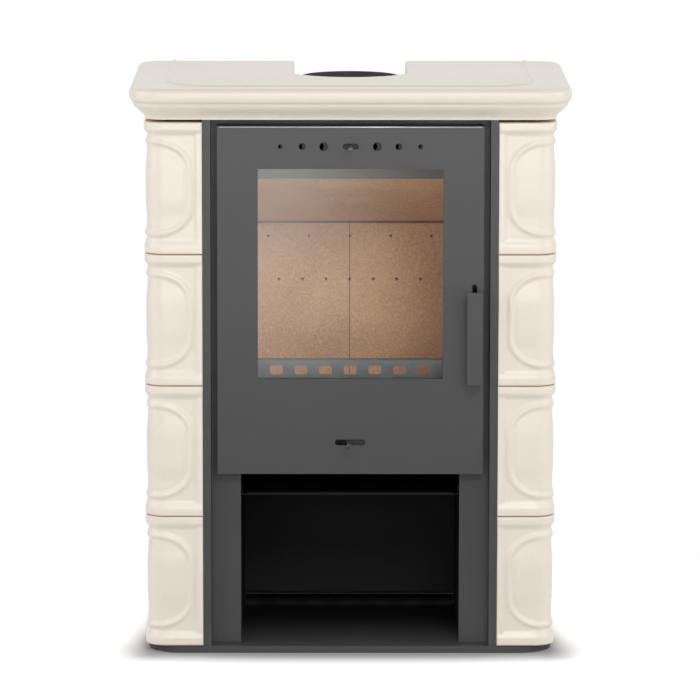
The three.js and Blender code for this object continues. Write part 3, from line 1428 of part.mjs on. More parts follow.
add('door_plate', doorPlate(), darkPaint());
add('door_frame', doorFrame(), darkPaint());
add('rope_seal', ropeSeal(), rope());
add('glass_tape', glassTape(), rope());
add('door_glass', doorGlass(), glassSheet());
const holder = glassRail();
add('glass_rail_right', holder, darkPaint());
add('glass_rail_left', mirrored(holder), darkPaint());

const [upperLug, lowerLug] = hingeLugLevels();
add('hinge_lug_upper', hingeLug(upperLug), darkPaint());
add('hinge_lug_lower', hingeLug(lowerLug), darkPaint());
add('hinge_pin_upper', hingePin(upperLug), brightSteel());
add('hinge_pin_lower', hingePin(lowerLug), brightSteel());

const upperWindow = AIR_HOLES.at(-1)[0] + AIR_HOLES.at(-1)[1];
add('upper_guide', sliderGuide(AIR_TOP, upperWindow), darkPaint());
add('upper_slider', upperSlider(), darkPaint());
add('upper_knob', airKnob(0, AIR_TOP), brightSteel());
add('lower_guide', sliderGuide(AIR_BOTTOM, AIR_BOTTOM_SLOT / 2), darkPaint());
add('lower_slider', lowerSlider(), darkPaint());
add('lower_knob', airKnob(AIR_BOTTOM_REST, AIR_BOTTOM), brightSteel());

add('handle_grip', handleGrip(), darkPaint());
add('latch_lever', latchLever(), darkPaint());
add('latch_bracket', latchBracket(), darkPaint());
add('latch_pivot', latchPivot(), brightSteel());
add('latch_keeper', latchKeeper(), darkPaint());

export default stove;
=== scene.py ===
import math
import bpy
import numpy as np
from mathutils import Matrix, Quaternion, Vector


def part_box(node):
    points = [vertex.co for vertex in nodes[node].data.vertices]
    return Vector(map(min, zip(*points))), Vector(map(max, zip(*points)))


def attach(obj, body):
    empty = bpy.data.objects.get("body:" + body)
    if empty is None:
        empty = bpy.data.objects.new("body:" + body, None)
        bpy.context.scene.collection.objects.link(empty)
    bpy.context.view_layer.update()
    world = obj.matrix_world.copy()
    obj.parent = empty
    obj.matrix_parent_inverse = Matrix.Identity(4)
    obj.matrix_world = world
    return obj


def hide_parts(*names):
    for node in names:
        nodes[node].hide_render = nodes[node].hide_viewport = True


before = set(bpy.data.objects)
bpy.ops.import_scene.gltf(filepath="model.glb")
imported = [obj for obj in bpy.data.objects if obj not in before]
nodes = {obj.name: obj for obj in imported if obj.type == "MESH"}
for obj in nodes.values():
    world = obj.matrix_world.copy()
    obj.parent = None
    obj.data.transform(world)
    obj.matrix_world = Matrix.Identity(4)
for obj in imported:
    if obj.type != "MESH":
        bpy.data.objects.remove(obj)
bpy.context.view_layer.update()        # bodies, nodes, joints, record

# ------------------------------------------------------------------ studio
# The stove stands on a pale floor, seen straight from the front and a little from above, under a
# soft lamp high in front and weaker ones low in front, at its sides and behind it. Cards in front,
# which only mirroring faces can see, give the glass a pale window to reflect.

scene = bpy.context.scene
scene.view_settings.view_transform = "Standard"

camera = bpy.data.objects.new("camera", bpy.data.cameras.new("camera"))
scene.collection.objects.link(camera)
scene.camera = camera
camera.data.sensor_width = 36
camera.data.lens = 260.4
camera.data.clip_end = 60
camera.location = (-0.0280, -7.7985, 1.6128)
camera.rotation_mode = "QUATERNION"
turn = Quaternion((0, 0, 1), math.radians(-0.207))
tilt = Quaternion((1, 0, 0), math.radians(81.443))
roll = Quaternion((0, 0, 1), math.radians(0.075))
camera.rotation_quaternion = turn @ tilt @ roll


def lamp(name, place, aim, size, watts):
    """A soft rectangular lamp at a place, turned towards a point."""
    light = bpy.data.lights.new(name, "AREA")
    light.shape = "RECTANGLE"
    light.size, light.size_y = size
    light.energy = watts
    obj = bpy.data.objects.new(name, light)
    obj.location = place
    away = np.subtract(aim, place)
    turn = math.atan2(-away[0], away[1])
    obj.rotation_euler = (math.atan2(math.hypot(away[0], away[1]), -away[2]), 0, turn)
    scene.collection.objects.link(obj)
    return obj


lamp("key softbox", (0.8, -5.2, 3.2), (0, 0, 0.5), (1.4, 1.2), 84)
fill = lamp("low fill", (-0.4, -4.6, 0.45), (0, 0, 0.6), (3.0, 0.8), 24)
fill.visible_glossy = False
fill.visible_transmission = False
lamp("left softbox", (-3.0, -0.8, 1.4), (0, 0, 0.5), (1.6, 2.0), 24)
lamp("right softbox", (3.0, -0.8, 1.4), (0, 0, 0.5), (1.6, 2.0), 24)
lamp("rear softbox", (0, 3.4, 2.6), (0, 0, 0.5), (2.4, 1.6), 8)


def blank(name):
    """A new material with no nodes but its output; gives it back with its nodes and links."""
    material = bpy.data.materials.new(name)
    material.use_nodes = True
    tree = material.node_tree
    tree.nodes.clear()
    tree.nodes.new("ShaderNodeOutputMaterial")
    return material, tree.nodes, tree.links


def seen_ray(made, wire):
    """1 for a ray from the camera, a mirror or a pane of glass, and 0 for any other."""
    path = made.new("ShaderNodeLightPath")
    either = made.new("ShaderNodeMath")
    either.operation = "MAXIMUM"
    wire.new(path.outputs["Is Camera Ray"], either.inputs[0])
    wire.new(path.outputs["Is Glossy Ray"], either.inputs[1])
    any_of = made.new("ShaderNodeMath")
    any_of.operation = "MAXIMUM"
    wire.new(either.outputs[0], any_of.inputs[0])
    wire.new(path.outputs["Is Transmission Ray"], any_of.inputs[1])
    return any_of.outputs[0]


world = bpy.data.worlds.new("studio")
scene.world = world
world.use_nodes = True
sky = world.node_tree.nodes
wires = world.node_tree.links
sky.clear()
room = sky.new("ShaderNodeBackground")
room.inputs["Color"].default_value = (1, 1, 1, 1)
ambient, seen_white = 0.42, 1.0
level = sky.new("ShaderNodeMapRange")
level.inputs["To Min"].default_value = ambient
level.inputs["To Max"].default_value = seen_white
wires.new(seen_ray(sky, wires), level.inputs["Value"])
wires.new(level.outputs["Result"], room.inputs["Strength"])
wires.new(room.outputs[0], sky.new("ShaderNodeOutputWorld").inputs["Surface"])


def sheet_of(name, corners):
    """A flat face through its corners, in order."""
    mesh = bpy.data.meshes.new(name)
    mesh.from_pydata(corners, [], [tuple(range(len(corners)))])
    obj = bpy.data.objects.new(name, mesh)
    scene.collection.objects.link(obj)
    return obj


def ramp(made, wire, value, start, end, low, high):
    """A soft step of a value, from low at start to high at end."""
    step = made.new("ShaderNodeMapRange")
    step.interpolation_type = "SMOOTHSTEP"
    step.inputs["From Min"].default_value, step.inputs["From Max"].default_value = start, end
    step.inputs["To Min"].default_value, step.inputs["To Max"].default_value = low, high
    wire.new(value, step.inputs["Value"])
    return step.outputs["Result"]


def product(made, wire, a, b):
    """Two values multiplied."""
    times = made.new("ShaderNodeMath")
    times.operation = "MULTIPLY"
    wire.new(a, times.inputs[0])
    wire.new(b, times.inputs[1])
    return times.outputs[0]


def coordinate(made, wire, axis, output="Object"):
    """One of the three values of a point or, with Normal, of the direction of its face."""
    place = made.new("ShaderNodeTexCoord")
    split = made.new("ShaderNodeSeparateXYZ")
    wire.new(place.outputs[output], split.inputs[0])
    return split.outputs[axis]


def mixed(made, wire, factor, low, high):
    """Two colours mixed by a factor; each is a colour or the output of a node."""
    blend = made.new("ShaderNodeMix")
    blend.data_type = "RGBA"
    wire.new(factor, blend.inputs["Factor"])
    for socket, value in (("A", low), ("B", high)):
        if isinstance(value, tuple):
            blend.inputs[socket].default_value = (*value, 1)
        else:
            wire.new(value, blend.inputs[socket])
    return blend.outputs["Result"]


# The floor shows the stove's shadow, and close to the base it is also painted darker and glows less
# to what sees it: a painted shadow round the base, shorter towards the back. A hand's breadth
# further out, what is seen of it runs over into plain white.
reach = 14.0
square = ((-1, -1), (1, -1), (1, 1), (-1, 1))
floor = sheet_of("floor", [(x * reach, y * reach, 0) for x, y in square])
pale, made, wire = blank("pale floor")
ground = made.new("ShaderNodeBsdfPrincipled")
ground.inputs["Roughness"].default_value = 1.0
ground.inputs["Specular IOR Level"].default_value = 0.0
ground.inputs["Emission Color"].default_value = (1, 1, 1, 1)
place = made.new("ShaderNodeTexCoord")
away = place.outputs["Object"]
footprint, widen = (0.30, 0.205, 0), (1.1, 1, 0)
for kind, by in (("ABSOLUTE", None), ("SUBTRACT", footprint), ("MAXIMUM", (0, 0, 0)),
                 ("MULTIPLY", widen), ("LENGTH", None)):
    step = made.new("ShaderNodeVectorMath")
    step.operation = kind
    wire.new(away, step.inputs[0])
    if by is not None:
        step.inputs[1].default_value = by
    away = step.outputs["Value" if kind == "LENGTH" else "Vector"]
further = made.new("ShaderNodeMath")
wire.new(away, further.inputs[0])
depth = coordinate(made, wire, "Y")
wire.new(ramp(made, wire, depth, -0.19, 0.10, 0, 0.055), further.inputs[1])
away = further.outputs[0]
# Painted shadow: the floor's own colour darkens towards the base.
wire.new(ramp(made, wire, away, 0.0, 0.06, 0.55, 0.84), ground.inputs["Base Color"])
seen = seen_ray(made, wire)
# Painted shadow: the seen glow fades out towards the base.
glow = product(made, wire, seen, ramp(made, wire, away, 0.0, 0.11, 0, 0.66))
wire.new(glow, ground.inputs["Emission Strength"])
plain = made.new("ShaderNodeEmission")
blend = made.new("ShaderNodeMixShader")
wire.new(product(made, wire, seen, ramp(made, wire, away, 0.1, 0.6, 0, 1)), blend.inputs[0])
wire.new(ground.outputs[0], blend.inputs[1])
wire.new(plain.outputs[0], blend.inputs[2])
wire.new(blend.outputs[0], made["Material Output"].inputs["Surface"])
floor.data.materials.append(pale)


def card(name, corners, across, up):
    """A card that only mirroring faces see. Its glow is a soft step across times a soft step up,
    each given as (start, end, from, to)."""
    board = sheet_of(name, corners)
    for kind in ("camera", "diffuse", "transmission", "shadow", "volume_scatter"):
        setattr(board, f"visible_{kind}", False)
    material, made, wire = blank(name)
    sideways = ramp(made, wire, coordinate(made, wire, "X"), *across)
    upwards = ramp(made, wire, coordinate(made, wire, "Z"), *up)
    glow = made.new("ShaderNodeEmission")
    wire.new(product(made, wire, sideways, upwards), glow.inputs["Strength"])
    wire.new(glow.outputs[0], made["Material Output"].inputs["Surface"])
    board.data.materials.append(material)
    return board


def upright(half, y, top):
    """Corners of an upright rectangle that stands on the floor."""
    return [(-half, y, 0), (half, y, 0), (half, y, top), (-half, y, top)]


def even(strength):
    """The same strength all over: the step lies outside the card."""
    return -9, -8, 0.0, strength


# The near card gives the pale patch low in the glass, the wide card the sheen on paint and glaze;
# the dark card hides the white floor from what mirrors it.
dark_lift = 0.002
cards = [
    card("near card", upright(0.21, -2.2, 0.54), (-0.20, 0.16, 4.6, 0.0), (-0.15, 0.48, 0.0, 1.0)),
    card("wide card", upright(1.5, -2.3, 0.86), even(7.5), (0.28, 0.86, 0.0, 1.0)),
    card("dark card", [(-1.3, -2.3, dark_lift), (1.3, -2.3, dark_lift), (1.3, -0.3, dark_lift),
                       (-1.3, -0.3, dark_lift)], even(0.0), even(0.0)),
]

# ------------------------------------------------------------------ base and carcass
# Folded sheet steel, welded and sprayed with matt heat-proof paint: the base tray, the two side
# panels whose front edges show beside the door, the front panel, the top plate with the flue
# collar, and the rear heat shield, which six screws hold.

noise_low, noise_high = 0.3, 0.7  # nearly all of a noise lies between these


def grain_group():
    """Fractal noise over a point: a fine grain and a slow drift, mixed into two colours.

    Out come the mixed colour, the grain as a height and the drift as a value, all from 0 to 1."""
    group = bpy.data.node_groups.new("grain", "ShaderNodeTree")
    face = group.interface
    face.new_socket("Vector", in_out="INPUT", socket_type="NodeSocketVector")
    for name, value in (("Scale", 900.0), ("Drift Scale", 9.0), ("Cover", 0.5)):
        face.new_socket(name, in_out="INPUT", socket_type="NodeSocketFloat").default_value = value
    for name in ("Color", "Fleck"):
        face.new_socket(name, in_out="INPUT", socket_type="NodeSocketColor")
    face.new_socket("Color", in_out="OUTPUT", socket_type="NodeSocketColor")
    face.new_socket("Height", in_out="OUTPUT", socket_type="NodeSocketFloat")
    face.new_socket("Drift", in_out="OUTPUT", socket_type="NodeSocketFloat")
    made, wire = group.nodes, group.links
    enter, leave = made.new("NodeGroupInput"), made.new("NodeGroupOutput")
    fine, slow = made.new("ShaderNodeTexNoise"), made.new("ShaderNodeTexNoise")
    fine.inputs["Detail"].default_value = 3.0
    slow.inputs["Detail"].default_value = 4.0
    wire.new(enter.outputs["Scale"], fine.inputs["Scale"])
    wire.new(enter.outputs["Drift Scale"], slow.inputs["Scale"])
    wire.new(enter.outputs["Vector"], fine.inputs["Vector"])
    wire.new(enter.outputs["Vector"], slow.inputs["Vector"])
    fine_share = 0.6
    blend = made.new("ShaderNodeMath")
    blend.operation = "MULTIPLY_ADD"
    wire.new(fine.outputs["Fac"], blend.inputs[0])
    blend.inputs[1].default_value = fine_share
    share = made.new("ShaderNodeMath")
    share.operation = "MULTIPLY"
    share.inputs[1].default_value = 1 - fine_share
    wire.new(slow.outputs["Fac"], share.inputs[0])
    wire.new(share.outputs[0], blend.inputs[2])
    spread = made.new("ShaderNodeMapRange")
    spread.inputs["From Min"].default_value = noise_low
    spread.inputs["From Max"].default_value = noise_high
    wire.new(blend.outputs[0], spread.inputs["Value"])
    cover = made.new("ShaderNodeMath")
    cover.operation = "MULTIPLY"
    wire.new(spread.outputs["Result"], cover.inputs[0])
    wire.new(enter.outputs["Cover"], cover.inputs[1])
    mix = made.new("ShaderNodeMix")
    mix.data_type = "RGBA"
    wire.new(cover.outputs[0], mix.inputs["Factor"])
    wire.new(enter.outputs["Color"], mix.inputs["A"])
    wire.new(enter.outputs["Fleck"], mix.inputs["B"])
    wire.new(mix.outputs["Result"], leave.inputs["Color"])
    wire.new(fine.outputs["Fac"], leave.inputs["Height"])
    wire.new(slow.outputs["Fac"], leave.inputs["Drift"])
    return group


grain = grain_group()


def grained(name, color, fleck, scale, drift, cover, rough, height, metal=0.0):
    """A finish whose colour wanders from color towards fleck, whose roughness drifts between the
    two values of rough, and whose grain stands height metres high. Gives back the material, its
    nodes and links, and its shader."""
    material, made, wire = blank(name)
    shader = made.new("ShaderNodeBsdfPrincipled")
    shader.inputs["Metallic"].default_value = metal
    wire.new(shader.outputs[0], made["Material Output"].inputs["Surface"])
    place = made.new("ShaderNodeTexCoord")
    cover_all = made.new("ShaderNodeGroup")
    cover_all.name = "grain"
    cover_all.node_tree = grain
    wire.new(place.outputs["Object"], cover_all.inputs["Vector"])
    for socket, value in (("Scale", scale), ("Drift Scale", drift), ("Cover", cover)):
        cover_all.inputs[socket].default_value = value
    cover_all.inputs["Color"].default_value = (*color, 1)
    cover_all.inputs["Fleck"].default_value = (*fleck, 1)
    wire.new(cover_all.outputs["Color"], shader.inputs["Base Color"])
    gloss = made.new("ShaderNodeMapRange")
    gloss.inputs["From Min"].default_value = noise_low
    gloss.inputs["From Max"].default_value = noise_high
    gloss.inputs["To Min"].default_value, gloss.inputs["To Max"].default_value = rough
    wire.new(cover_all.outputs["Drift"], gloss.inputs["Value"])
    wire.new(gloss.outputs["Result"], shader.inputs["Roughness"])
    bump = made.new("ShaderNodeBump")
    bump.inputs["Distance"].default_value = height
    wire.new(cover_all.outputs["Height"], bump.inputs["Height"])
    wire.new(bump.outputs["Normal"], shader.inputs["Normal"])
    return material, made, wire, shader


def dress(material, *names):
    """Gives these CAD nodes a finish."""
    for name in names:
        for held in nodes[name].material_slots:
            held.material = material


paint, *_ = grained(
    "matt paint", (0.047, 0.0473, 0.0485), (0.058, 0.0583, 0.0597), 1500, 6, 0.8, (0.44, 0.5),
    0.00004,
)
dress(
    paint, "side_panel_left", "side_panel_right", "front_panel",
    "top_plate", "flue_collar", "hinge_lug_upper", "hinge_lug_lower",
    "latch_keeper", "grate_shelf",
)

# The tray's colour darkens towards the back of the wood store: painted shade deep in the bay.
tray_paint, made, wire, shader = grained(
    "tray paint", (0.066, 0.0665, 0.068), (0.080, 0.0805, 0.082), 1500, 6, 0.8, (0.5, 0.6), 0.00004,
)
shader.inputs["Specular IOR Level"].default_value = 0.2
shade_towards_back = ramp(made, wire, coordinate(made, wire, "Y"), -0.20, 0.06, 0, 1)
paint_and_shade = mixed(made, wire, shade_towards_back, made["grain"].outputs["Color"], (0.004, 0.004, 0.004))
wire.new(paint_and_shade, shader.inputs["Base Color"])
dress(tray_paint, "base_tray")

# The shield's face towards the stove, which shows under the rear wall of the wood store, is painted
# near black: painted shade seen through that gap. Its face towards the back keeps the plain paint.
shield_paint, made, wire, shader = grained(
    "shield paint", (0.050, 0.0503, 0.0515), (0.060, 0.0603, 0.0617), 1500, 6, 0.8, (0.44, 0.5),
    0.00004,
)
shader.inputs["Specular IOR Level"].default_value = 0.25
outside = ramp(made, wire, coordinate(made, wire, "Y", "Normal"), -0.5, 0.5, 0, 1)
paint_and_shade = mixed(made, wire, outside, (0.003, 0.003, 0.003), made["grain"].outputs["Color"])
wire.new(paint_and_shade, shader.inputs["Base Color"])
dress(shield_paint, "rear_shield")


def shell(name, rings, capped, body, material, rim=None, crease=40):
    """A closed surface through rings of points, rings[u][v]. Each ring closes on itself; the rings
    follow each other along the piece and are either capped with a flat face at each end or
    close on themselves too. Turned so that its faces point outwards."""
    rings = np.asarray(rings, float)
    count, around = rings.shape[:2]
    last = count - 1 if capped else count
    u, v = np.meshgrid(np.arange(last), np.arange(around), indexing="ij")
    next_u, next_v = (u + 1) % count, (v + 1) % around
    corners = [u * around + v, next_u * around + v, next_u * around + next_v, u * around + next_v]
    quads = np.stack(corners, -1).reshape(-1, 4)
    points = rings.reshape(-1, 3)
    centre = points.mean(0)
    a, b, c, d = (points[quads[:, k]] - centre for k in range(4))
    volume = (a * np.cross(b, c)).sum() + (a * np.cross(c, d)).sum()
    ends = [np.arange(around), np.arange(around) + (count - 1) * around]
    if volume < 0:
        quads = quads[:, ::-1]
        ends = [ends[0][::-1], ends[1]]
    else:
        ends = [ends[0], ends[1][::-1]]
    faces = quads.tolist() + ([end.tolist() for end in ends] if capped else [])
    mesh = bpy.data.meshes.new(name)
    mesh.from_pydata(points.tolist(), [], faces)
    if rim is not None:
        mesh.attributes.new("rim", "FLOAT", "POINT").data.foreach_set("value", rim.ravel())
    mesh.materials.append(material)
    mesh.shade_smooth()
    mesh.set_sharp_from_angle(angle=math.radians(crease))
    obj = bpy.data.objects.new(name, mesh)
    scene.collection.objects.link(obj)
    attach(obj, body)
    return obj


bright, *_ = grained(
    "bright steel", (0.46, 0.46, 0.465), (0.34, 0.34, 0.35), 500, 40, 0.7, (0.24, 0.36),
    0.00002, 1.0,
)


def screw(name, head, place, body):
    """The turned head of a screw: a profile of (radius, height) pairs carried round the Y axis. It
    starts and ends close to the axis, where a small flat face closes it."""
    profile = np.array(head, float)
    turn = np.linspace(0, 2 * math.pi, 24, endpoint=False)
    rings = np.zeros((len(profile), len(turn), 3))
    rings[:, :, 0] = profile[:, :1] * np.cos(turn)
    rings[:, :, 1] = profile[:, 1:]
    rings[:, :, 2] = profile[:, :1] * np.sin(turn)
    return shell(name, rings + np.array(place), True, body, bright, crease=35)


shield_low, shield_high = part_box("rear_shield")
shield_head = [(0.0002, 0.0026), (0.0022, 0.0025), (0.0036, 0.0018), (0.0042, 0.0004),
               (0.0042, 0), (0.0002, 0)]
screw_x, screw_inset = 0.2215, 0.02
middle = (shield_low.z + shield_high.z) / 2
for k, z in enumerate((shield_low.z + screw_inset, middle, shield_high.z - screw_inset)):
    for side, word in ((-1, "left"), (1, "right")):
        place = (side * screw_x, shield_high.y, z)
        screw(f"shield_screw_{k + 1}_{word}", shield_head, place, "stove_body")

# ------------------------------------------------------------------ wood store
# The bay under the firebox: side and rear walls folded from one painted sheet, and a shelf under
# the firebox whose front edge is folded back flat, carried by an angle on each side.

# Near-black paint for the walls, shelf and rails of the wood store, and below for the firebox shell
# and the slider guides: painted shade in recesses where little light reaches.
shade_dark_paint, _, _, shader = grained(
    "dark paint", (0.012, 0.012, 0.0123), (0.016, 0.016, 0.0164), 1500, 6, 0.8, (0.6, 0.7),
    0.00004,
)
shader.inputs["Specular IOR Level"].default_value = 0.1
dress(shade_dark_paint, "store_liner", "store_ceiling", "store_rail_left", "store_rail_right")

# A bright, smooth, partly metallic finish along folded edges: a painted highlight where the edges
# catch the light.
highlight_sheen, *_ = grained(
    "rubbed paint", (0.46, 0.46, 0.465), (0.34, 0.34, 0.345), 900, 40, 0.8, (0.26, 0.36),
    0.00001, 0.7,
)


def highlight_edge(name, half, y, z, radius, body):
    """A bright rounded rod along the edge of a sheet, a painted highlight where the edge catches
    the light: a circle carried along a straight line, smaller at its two ends."""
    tip = 0.3
    turn = np.linspace(0, 2 * math.pi, 12, endpoint=False)
    x = np.array([-half, -half + radius, half - radius, half])
    size = radius * np.array([tip, 1, 1, tip])
    rings = np.zeros((len(x), len(turn), 3))
    rings[:, :, 0] = x[:, None]
    rings[:, :, 1] = y + size[:, None] * np.cos(turn)
    rings[:, :, 2] = z + size[:, None] * np.sin(turn)
    return shell(name, rings, True, body, highlight_sheen, crease=80)


shelf_low, shelf_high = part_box("store_ceiling")
shelf_round = 0.0006
# A bright rod along the shelf's front fold: a painted highlight.
highlight_edge(
    "shelf_fold", shelf_high.x - 0.002, shelf_low.y + shelf_round, shelf_low.z + shelf_round,
    shelf_round, "stove_body",
)

# ------------------------------------------------------------------ tiles
# Four glazed tiles on each side, each cast in one piece that turns the front corner: a raised band
# at the foot and the top, a border at the ends, and an arch-shaped ridge round a soft field. They
# stand on the base tray, one on another. The thin glaze shows the warm body along the joints.

cream, made, wire, shader = grained(
    "cream glaze", (0.845, 0.775, 0.670), (0.815, 0.745, 0.640), 60, 7, 0.55, (0.33, 0.42), 0.00012,
)
shader.inputs["Coat Weight"].default_value = 0.12
shader.inputs["Coat Roughness"].default_value = 0.18
worn = made.new("ShaderNodeAttribute")
worn.attribute_name = "rim"
warm = mixed(made, wire, worn.outputs["Fac"], made["grain"].outputs["Color"], (0.74, 0.60, 0.47))
wire.new(warm, shader.inputs["Base Color"])

clad_half = 0.309
clad_corner = 0.028
door_face = -0.1985
front_run = 0.0567
bend = clad_corner * math.pi / 2
tile_low, tile_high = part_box("tile_right_1")
tile_height = tile_high.z - tile_low.z
tile_length = front_run + bend + tile_high.y - door_face - clad_corner


def ease(value, start, end):
    """0 before start and 1 after end, with a soft step between."""
    t = np.clip((value - start) / (end - start), 0, 1)
    return t * t * (3 - 2 * t)


def clad_place(s):
    """Place and outward direction at a distance along a tile: front leg, bend, side leg."""
    angle = np.clip((s - front_run) / bend, 0, 1) * math.pi / 2
    out = np.stack([np.sin(angle), -np.cos(angle)], -1)
    x = np.minimum(clad_half - clad_corner - front_run + s, clad_half - clad_corner)
    y = door_face + clad_corner + np.maximum(s - front_run - bend, 0)
    return np.stack([x, y], -1) + clad_corner * out, out


def arch_distance(s, z):
    """Distance to the middle line of the ridge, less than 0 inside it: a rectangle whose corners
    are quarter ellipses, its implicit form divided by the length of its slope."""
    corner_s, corner_z = 0.052, 0.042
    inset_s, inset_z = 0.019, 0.0305
    half_s = tile_length / 2 - inset_s
    low, high = inset_z, tile_height - inset_z
    qs = (np.abs(s - tile_length / 2) - half_s + corner_s) / corner_s
    qz = (np.abs(z - (low + high) / 2) - (high - low) / 2 + corner_z) / corner_z
    form = np.hypot(np.maximum(qs, 0), np.maximum(qz, 0)) + np.minimum(np.maximum(qs, qz), 0) - 1
    tiny = 1e-6
    some_s, some_z = np.maximum(qs, tiny), np.maximum(qz, tiny)
    outside = np.hypot(some_s / corner_s, some_z / corner_z)
    slope = outside / np.maximum(np.hypot(some_s, some_z), tiny)
    return form / slope


def tile_relief(s, z):
    """How far the face of a tile stands out from the plan outline: ground, field, bands, end
    borders and ridge, less a small round along the edges."""
    ground_depth, top_depth, foot_rise = 0.0010, 0.0006, 0.0005
    field_rise, field_crown = 0.0008, 0.0016
    band_out, border_share = 0.0038, 0.45
    ridge_rise, ridge_half = 0.0034, 0.0074
    soft, end_haste = 0.0026, 1.6
    drop = tile_height - z
    away = arch_distance(s, z)
    groove = -ground_depth - top_depth * ease(z, 0.12, 0.17) + foot_rise * ease(z, 0.06, 0.03)
    cushion = ease(z, 0.052, 0.082) * ease(drop, 0.042, 0.075)
    inside = ease(-away, 0.0, 0.012)
    ground = groove + inside * (field_rise + cushion * field_crown)
    band = np.maximum(ease(-z, -0.0235, -0.0105), ease(-drop, -0.0205, -0.0110))
    end = np.minimum(s, tile_length - s)
    border = border_share * ease(-end, -0.0120, -0.0080)
    form = ground + (band_out - ground) * np.maximum(band, border)
    ridge = ridge_rise * np.cos(np.clip(away / ridge_half, -1, 1) * math.pi / 2) ** 2
    edge = np.minimum(np.minimum(z, drop), end * end_haste)
    lost = soft - np.sqrt(np.maximum(soft ** 2 - np.maximum(soft - edge, 0) ** 2, 0))
    return form + ridge - lost


def clad_tile(name, side, foot):
    """A tile: its relief over distance along it and height, a wall 12 mm behind it and rims 24 mm
    deep at the foot and the top, closed at both ends."""
    edge = np.array([0, 0.0002, 0.0006, 0.0012, 0.002])
    thin_near, thin_far, thin_most, back_bare = 0.0002, 0.0020, 0.8, 0.7
    s = np.concatenate([
        edge, np.linspace(0.003, 0.13, 76), np.linspace(0.134, tile_length - 0.079, 52),
        np.linspace(tile_length - 0.076, tile_length - 0.003, 44), tile_length - edge[::-1],
    ])
    inner_z = np.linspace(0.003, tile_height - 0.003, 96)
    z = np.concatenate([edge, inner_z, tile_height - edge[::-1]])
    grid_s, grid_z = np.meshgrid(s, z, indexing="ij")
    relief = tile_relief(grid_s, grid_z)
    rim_depth, rim, wall = 0.024, 0.012, 0.012
    inner = [(rim_depth, tile_height), (rim_depth, tile_height - rim), (wall, tile_height - rim),
             (wall, rim), (rim_depth, rim), (rim_depth, 0)]
    back = np.array([[-depth for depth, _ in inner]] * len(s))
    back_z = np.array([[height for _, height in inner]] * len(s))
    outset = np.concatenate([relief, back], 1)
    height = np.concatenate([grid_z, back_z], 1)
    place, out = clad_place(s)
    plan = place[:, None, :] + out[:, None, :] * outset[:, :, None]
    rings = np.concatenate([plan, height[:, :, None] + foot], 2)
    rings[:, :, 0] *= side
    from_edge = np.minimum(grid_z, tile_height - grid_z)
    thin = thin_most * (1 - ease(from_edge, thin_near, thin_far))
    rim_value = np.concatenate([thin, np.full(back.shape, back_bare)], 1)
    return shell(name, rings, True, "stove_body", cream, rim=rim_value, crease=50)


for side, word in ((-1, "left"), (1, "right")):
    for row in range(1, 5):
        node = f"tile_{word}_{row}"
        tile = clad_tile(f"glazed_{node}", side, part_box(node)[0].z)
        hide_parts(node)

# ------------------------------------------------------------------ slab
# The ceramic top: a flat slab with a swept cornice, hollow underneath, notched at the rear for
# the flue pipe. A fine bead outlines the panel on its upper face. It lies on the side panels.

slab_low, slab_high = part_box("top_slab")
slab_foot, slab_top, slab_rear = slab_low.z, slab_high.z, slab_high.y
flue_y = 0.0605
notch = 0.088


def quarter(x, y, radius_x, radius_y, start, end, count):
    """Points of a quarter ellipse between two angles, in degrees."""
    angle = np.radians(np.linspace(start, end, count))
    return np.stack([x + radius_x * np.cos(angle), y + radius_y * np.sin(angle)], -1), angle


def slab_paths():
    """Three paths from the right rear to the left rear, point for point: the outline of the
    cladding with its outward direction, the bead, and the notch with the direction away from it."""
    rear_round, arc, side_count, front_count = 0.026, 14, 26, 50
    rear_x, rear_y = clad_half - rear_round, slab_rear - rear_round
    front_x, front_y = clad_half - clad_corner, door_face + clad_corner
    bead_x, bead_end, bead_front = 0.278, door_face + 0.097, door_face + 0.018
    bead_flat, rear_bead, rear_notch, notch_turn = 0.215, slab_rear - 0.014, slab_rear - 0.018, -40
    straight = np.array([1.0, 0.0])
    outer, outward, bead, inner, away = [], [], [], [], []

    def leg(edge, out, line, ring, ring_out):
        outer.append(edge)
        outward.append(np.broadcast_to(out, edge.shape))
        bead.append(line)
        inner.append(ring)
        away.append(np.broadcast_to(ring_out, ring.shape))

    def between(a, b, count, skip=1):
        return np.linspace(a, b, count + skip)[skip:]

    edge, _ = quarter(rear_x, rear_y, rear_round, rear_round, 90, 0, arc)
    leg(edge, straight, np.linspace((bead_x, slab_rear), (bead_x, rear_bead), arc),
        np.linspace((notch, slab_rear), (notch, rear_notch), arc), straight)
    leg(between((clad_half, rear_y), (clad_half, front_y), side_count), straight,
        between((bead_x, rear_bead), (bead_x, bead_end), side_count),
        between((notch, rear_notch), (notch, flue_y), side_count), straight)
    edge, angle = quarter(front_x, front_y, clad_corner, clad_corner, 0, -90, arc + 1)
    sweep, _ = quarter(
        bead_flat, bead_end, bead_x - bead_flat, bead_end - bead_front, 0, -90, arc + 1,
    )
    ring, turn = quarter(0, flue_y, notch, notch, 0, notch_turn, arc + 1)
    leg(edge[1:], np.stack([np.cos(angle), np.sin(angle)], -1)[1:], sweep[1:], ring[1:],
        np.stack([np.cos(turn), np.sin(turn)], -1)[1:])
    ring, turn = quarter(0, flue_y, notch, notch, notch_turn, -90, front_count + 1)
    leg(between((front_x, door_face), (0, door_face), front_count), np.array([0.0, -1.0]),
        between((bead_flat, bead_front), (0, bead_front), front_count), ring[1:],
        np.stack([np.cos(turn), np.sin(turn)], -1)[1:])
    parts = [np.concatenate(part) for part in (outer, outward, bead, inner, away)]
    flip = np.array([-1.0, 1.0])
    return [np.concatenate([part, part[-2::-1] * flip]) for part in parts]


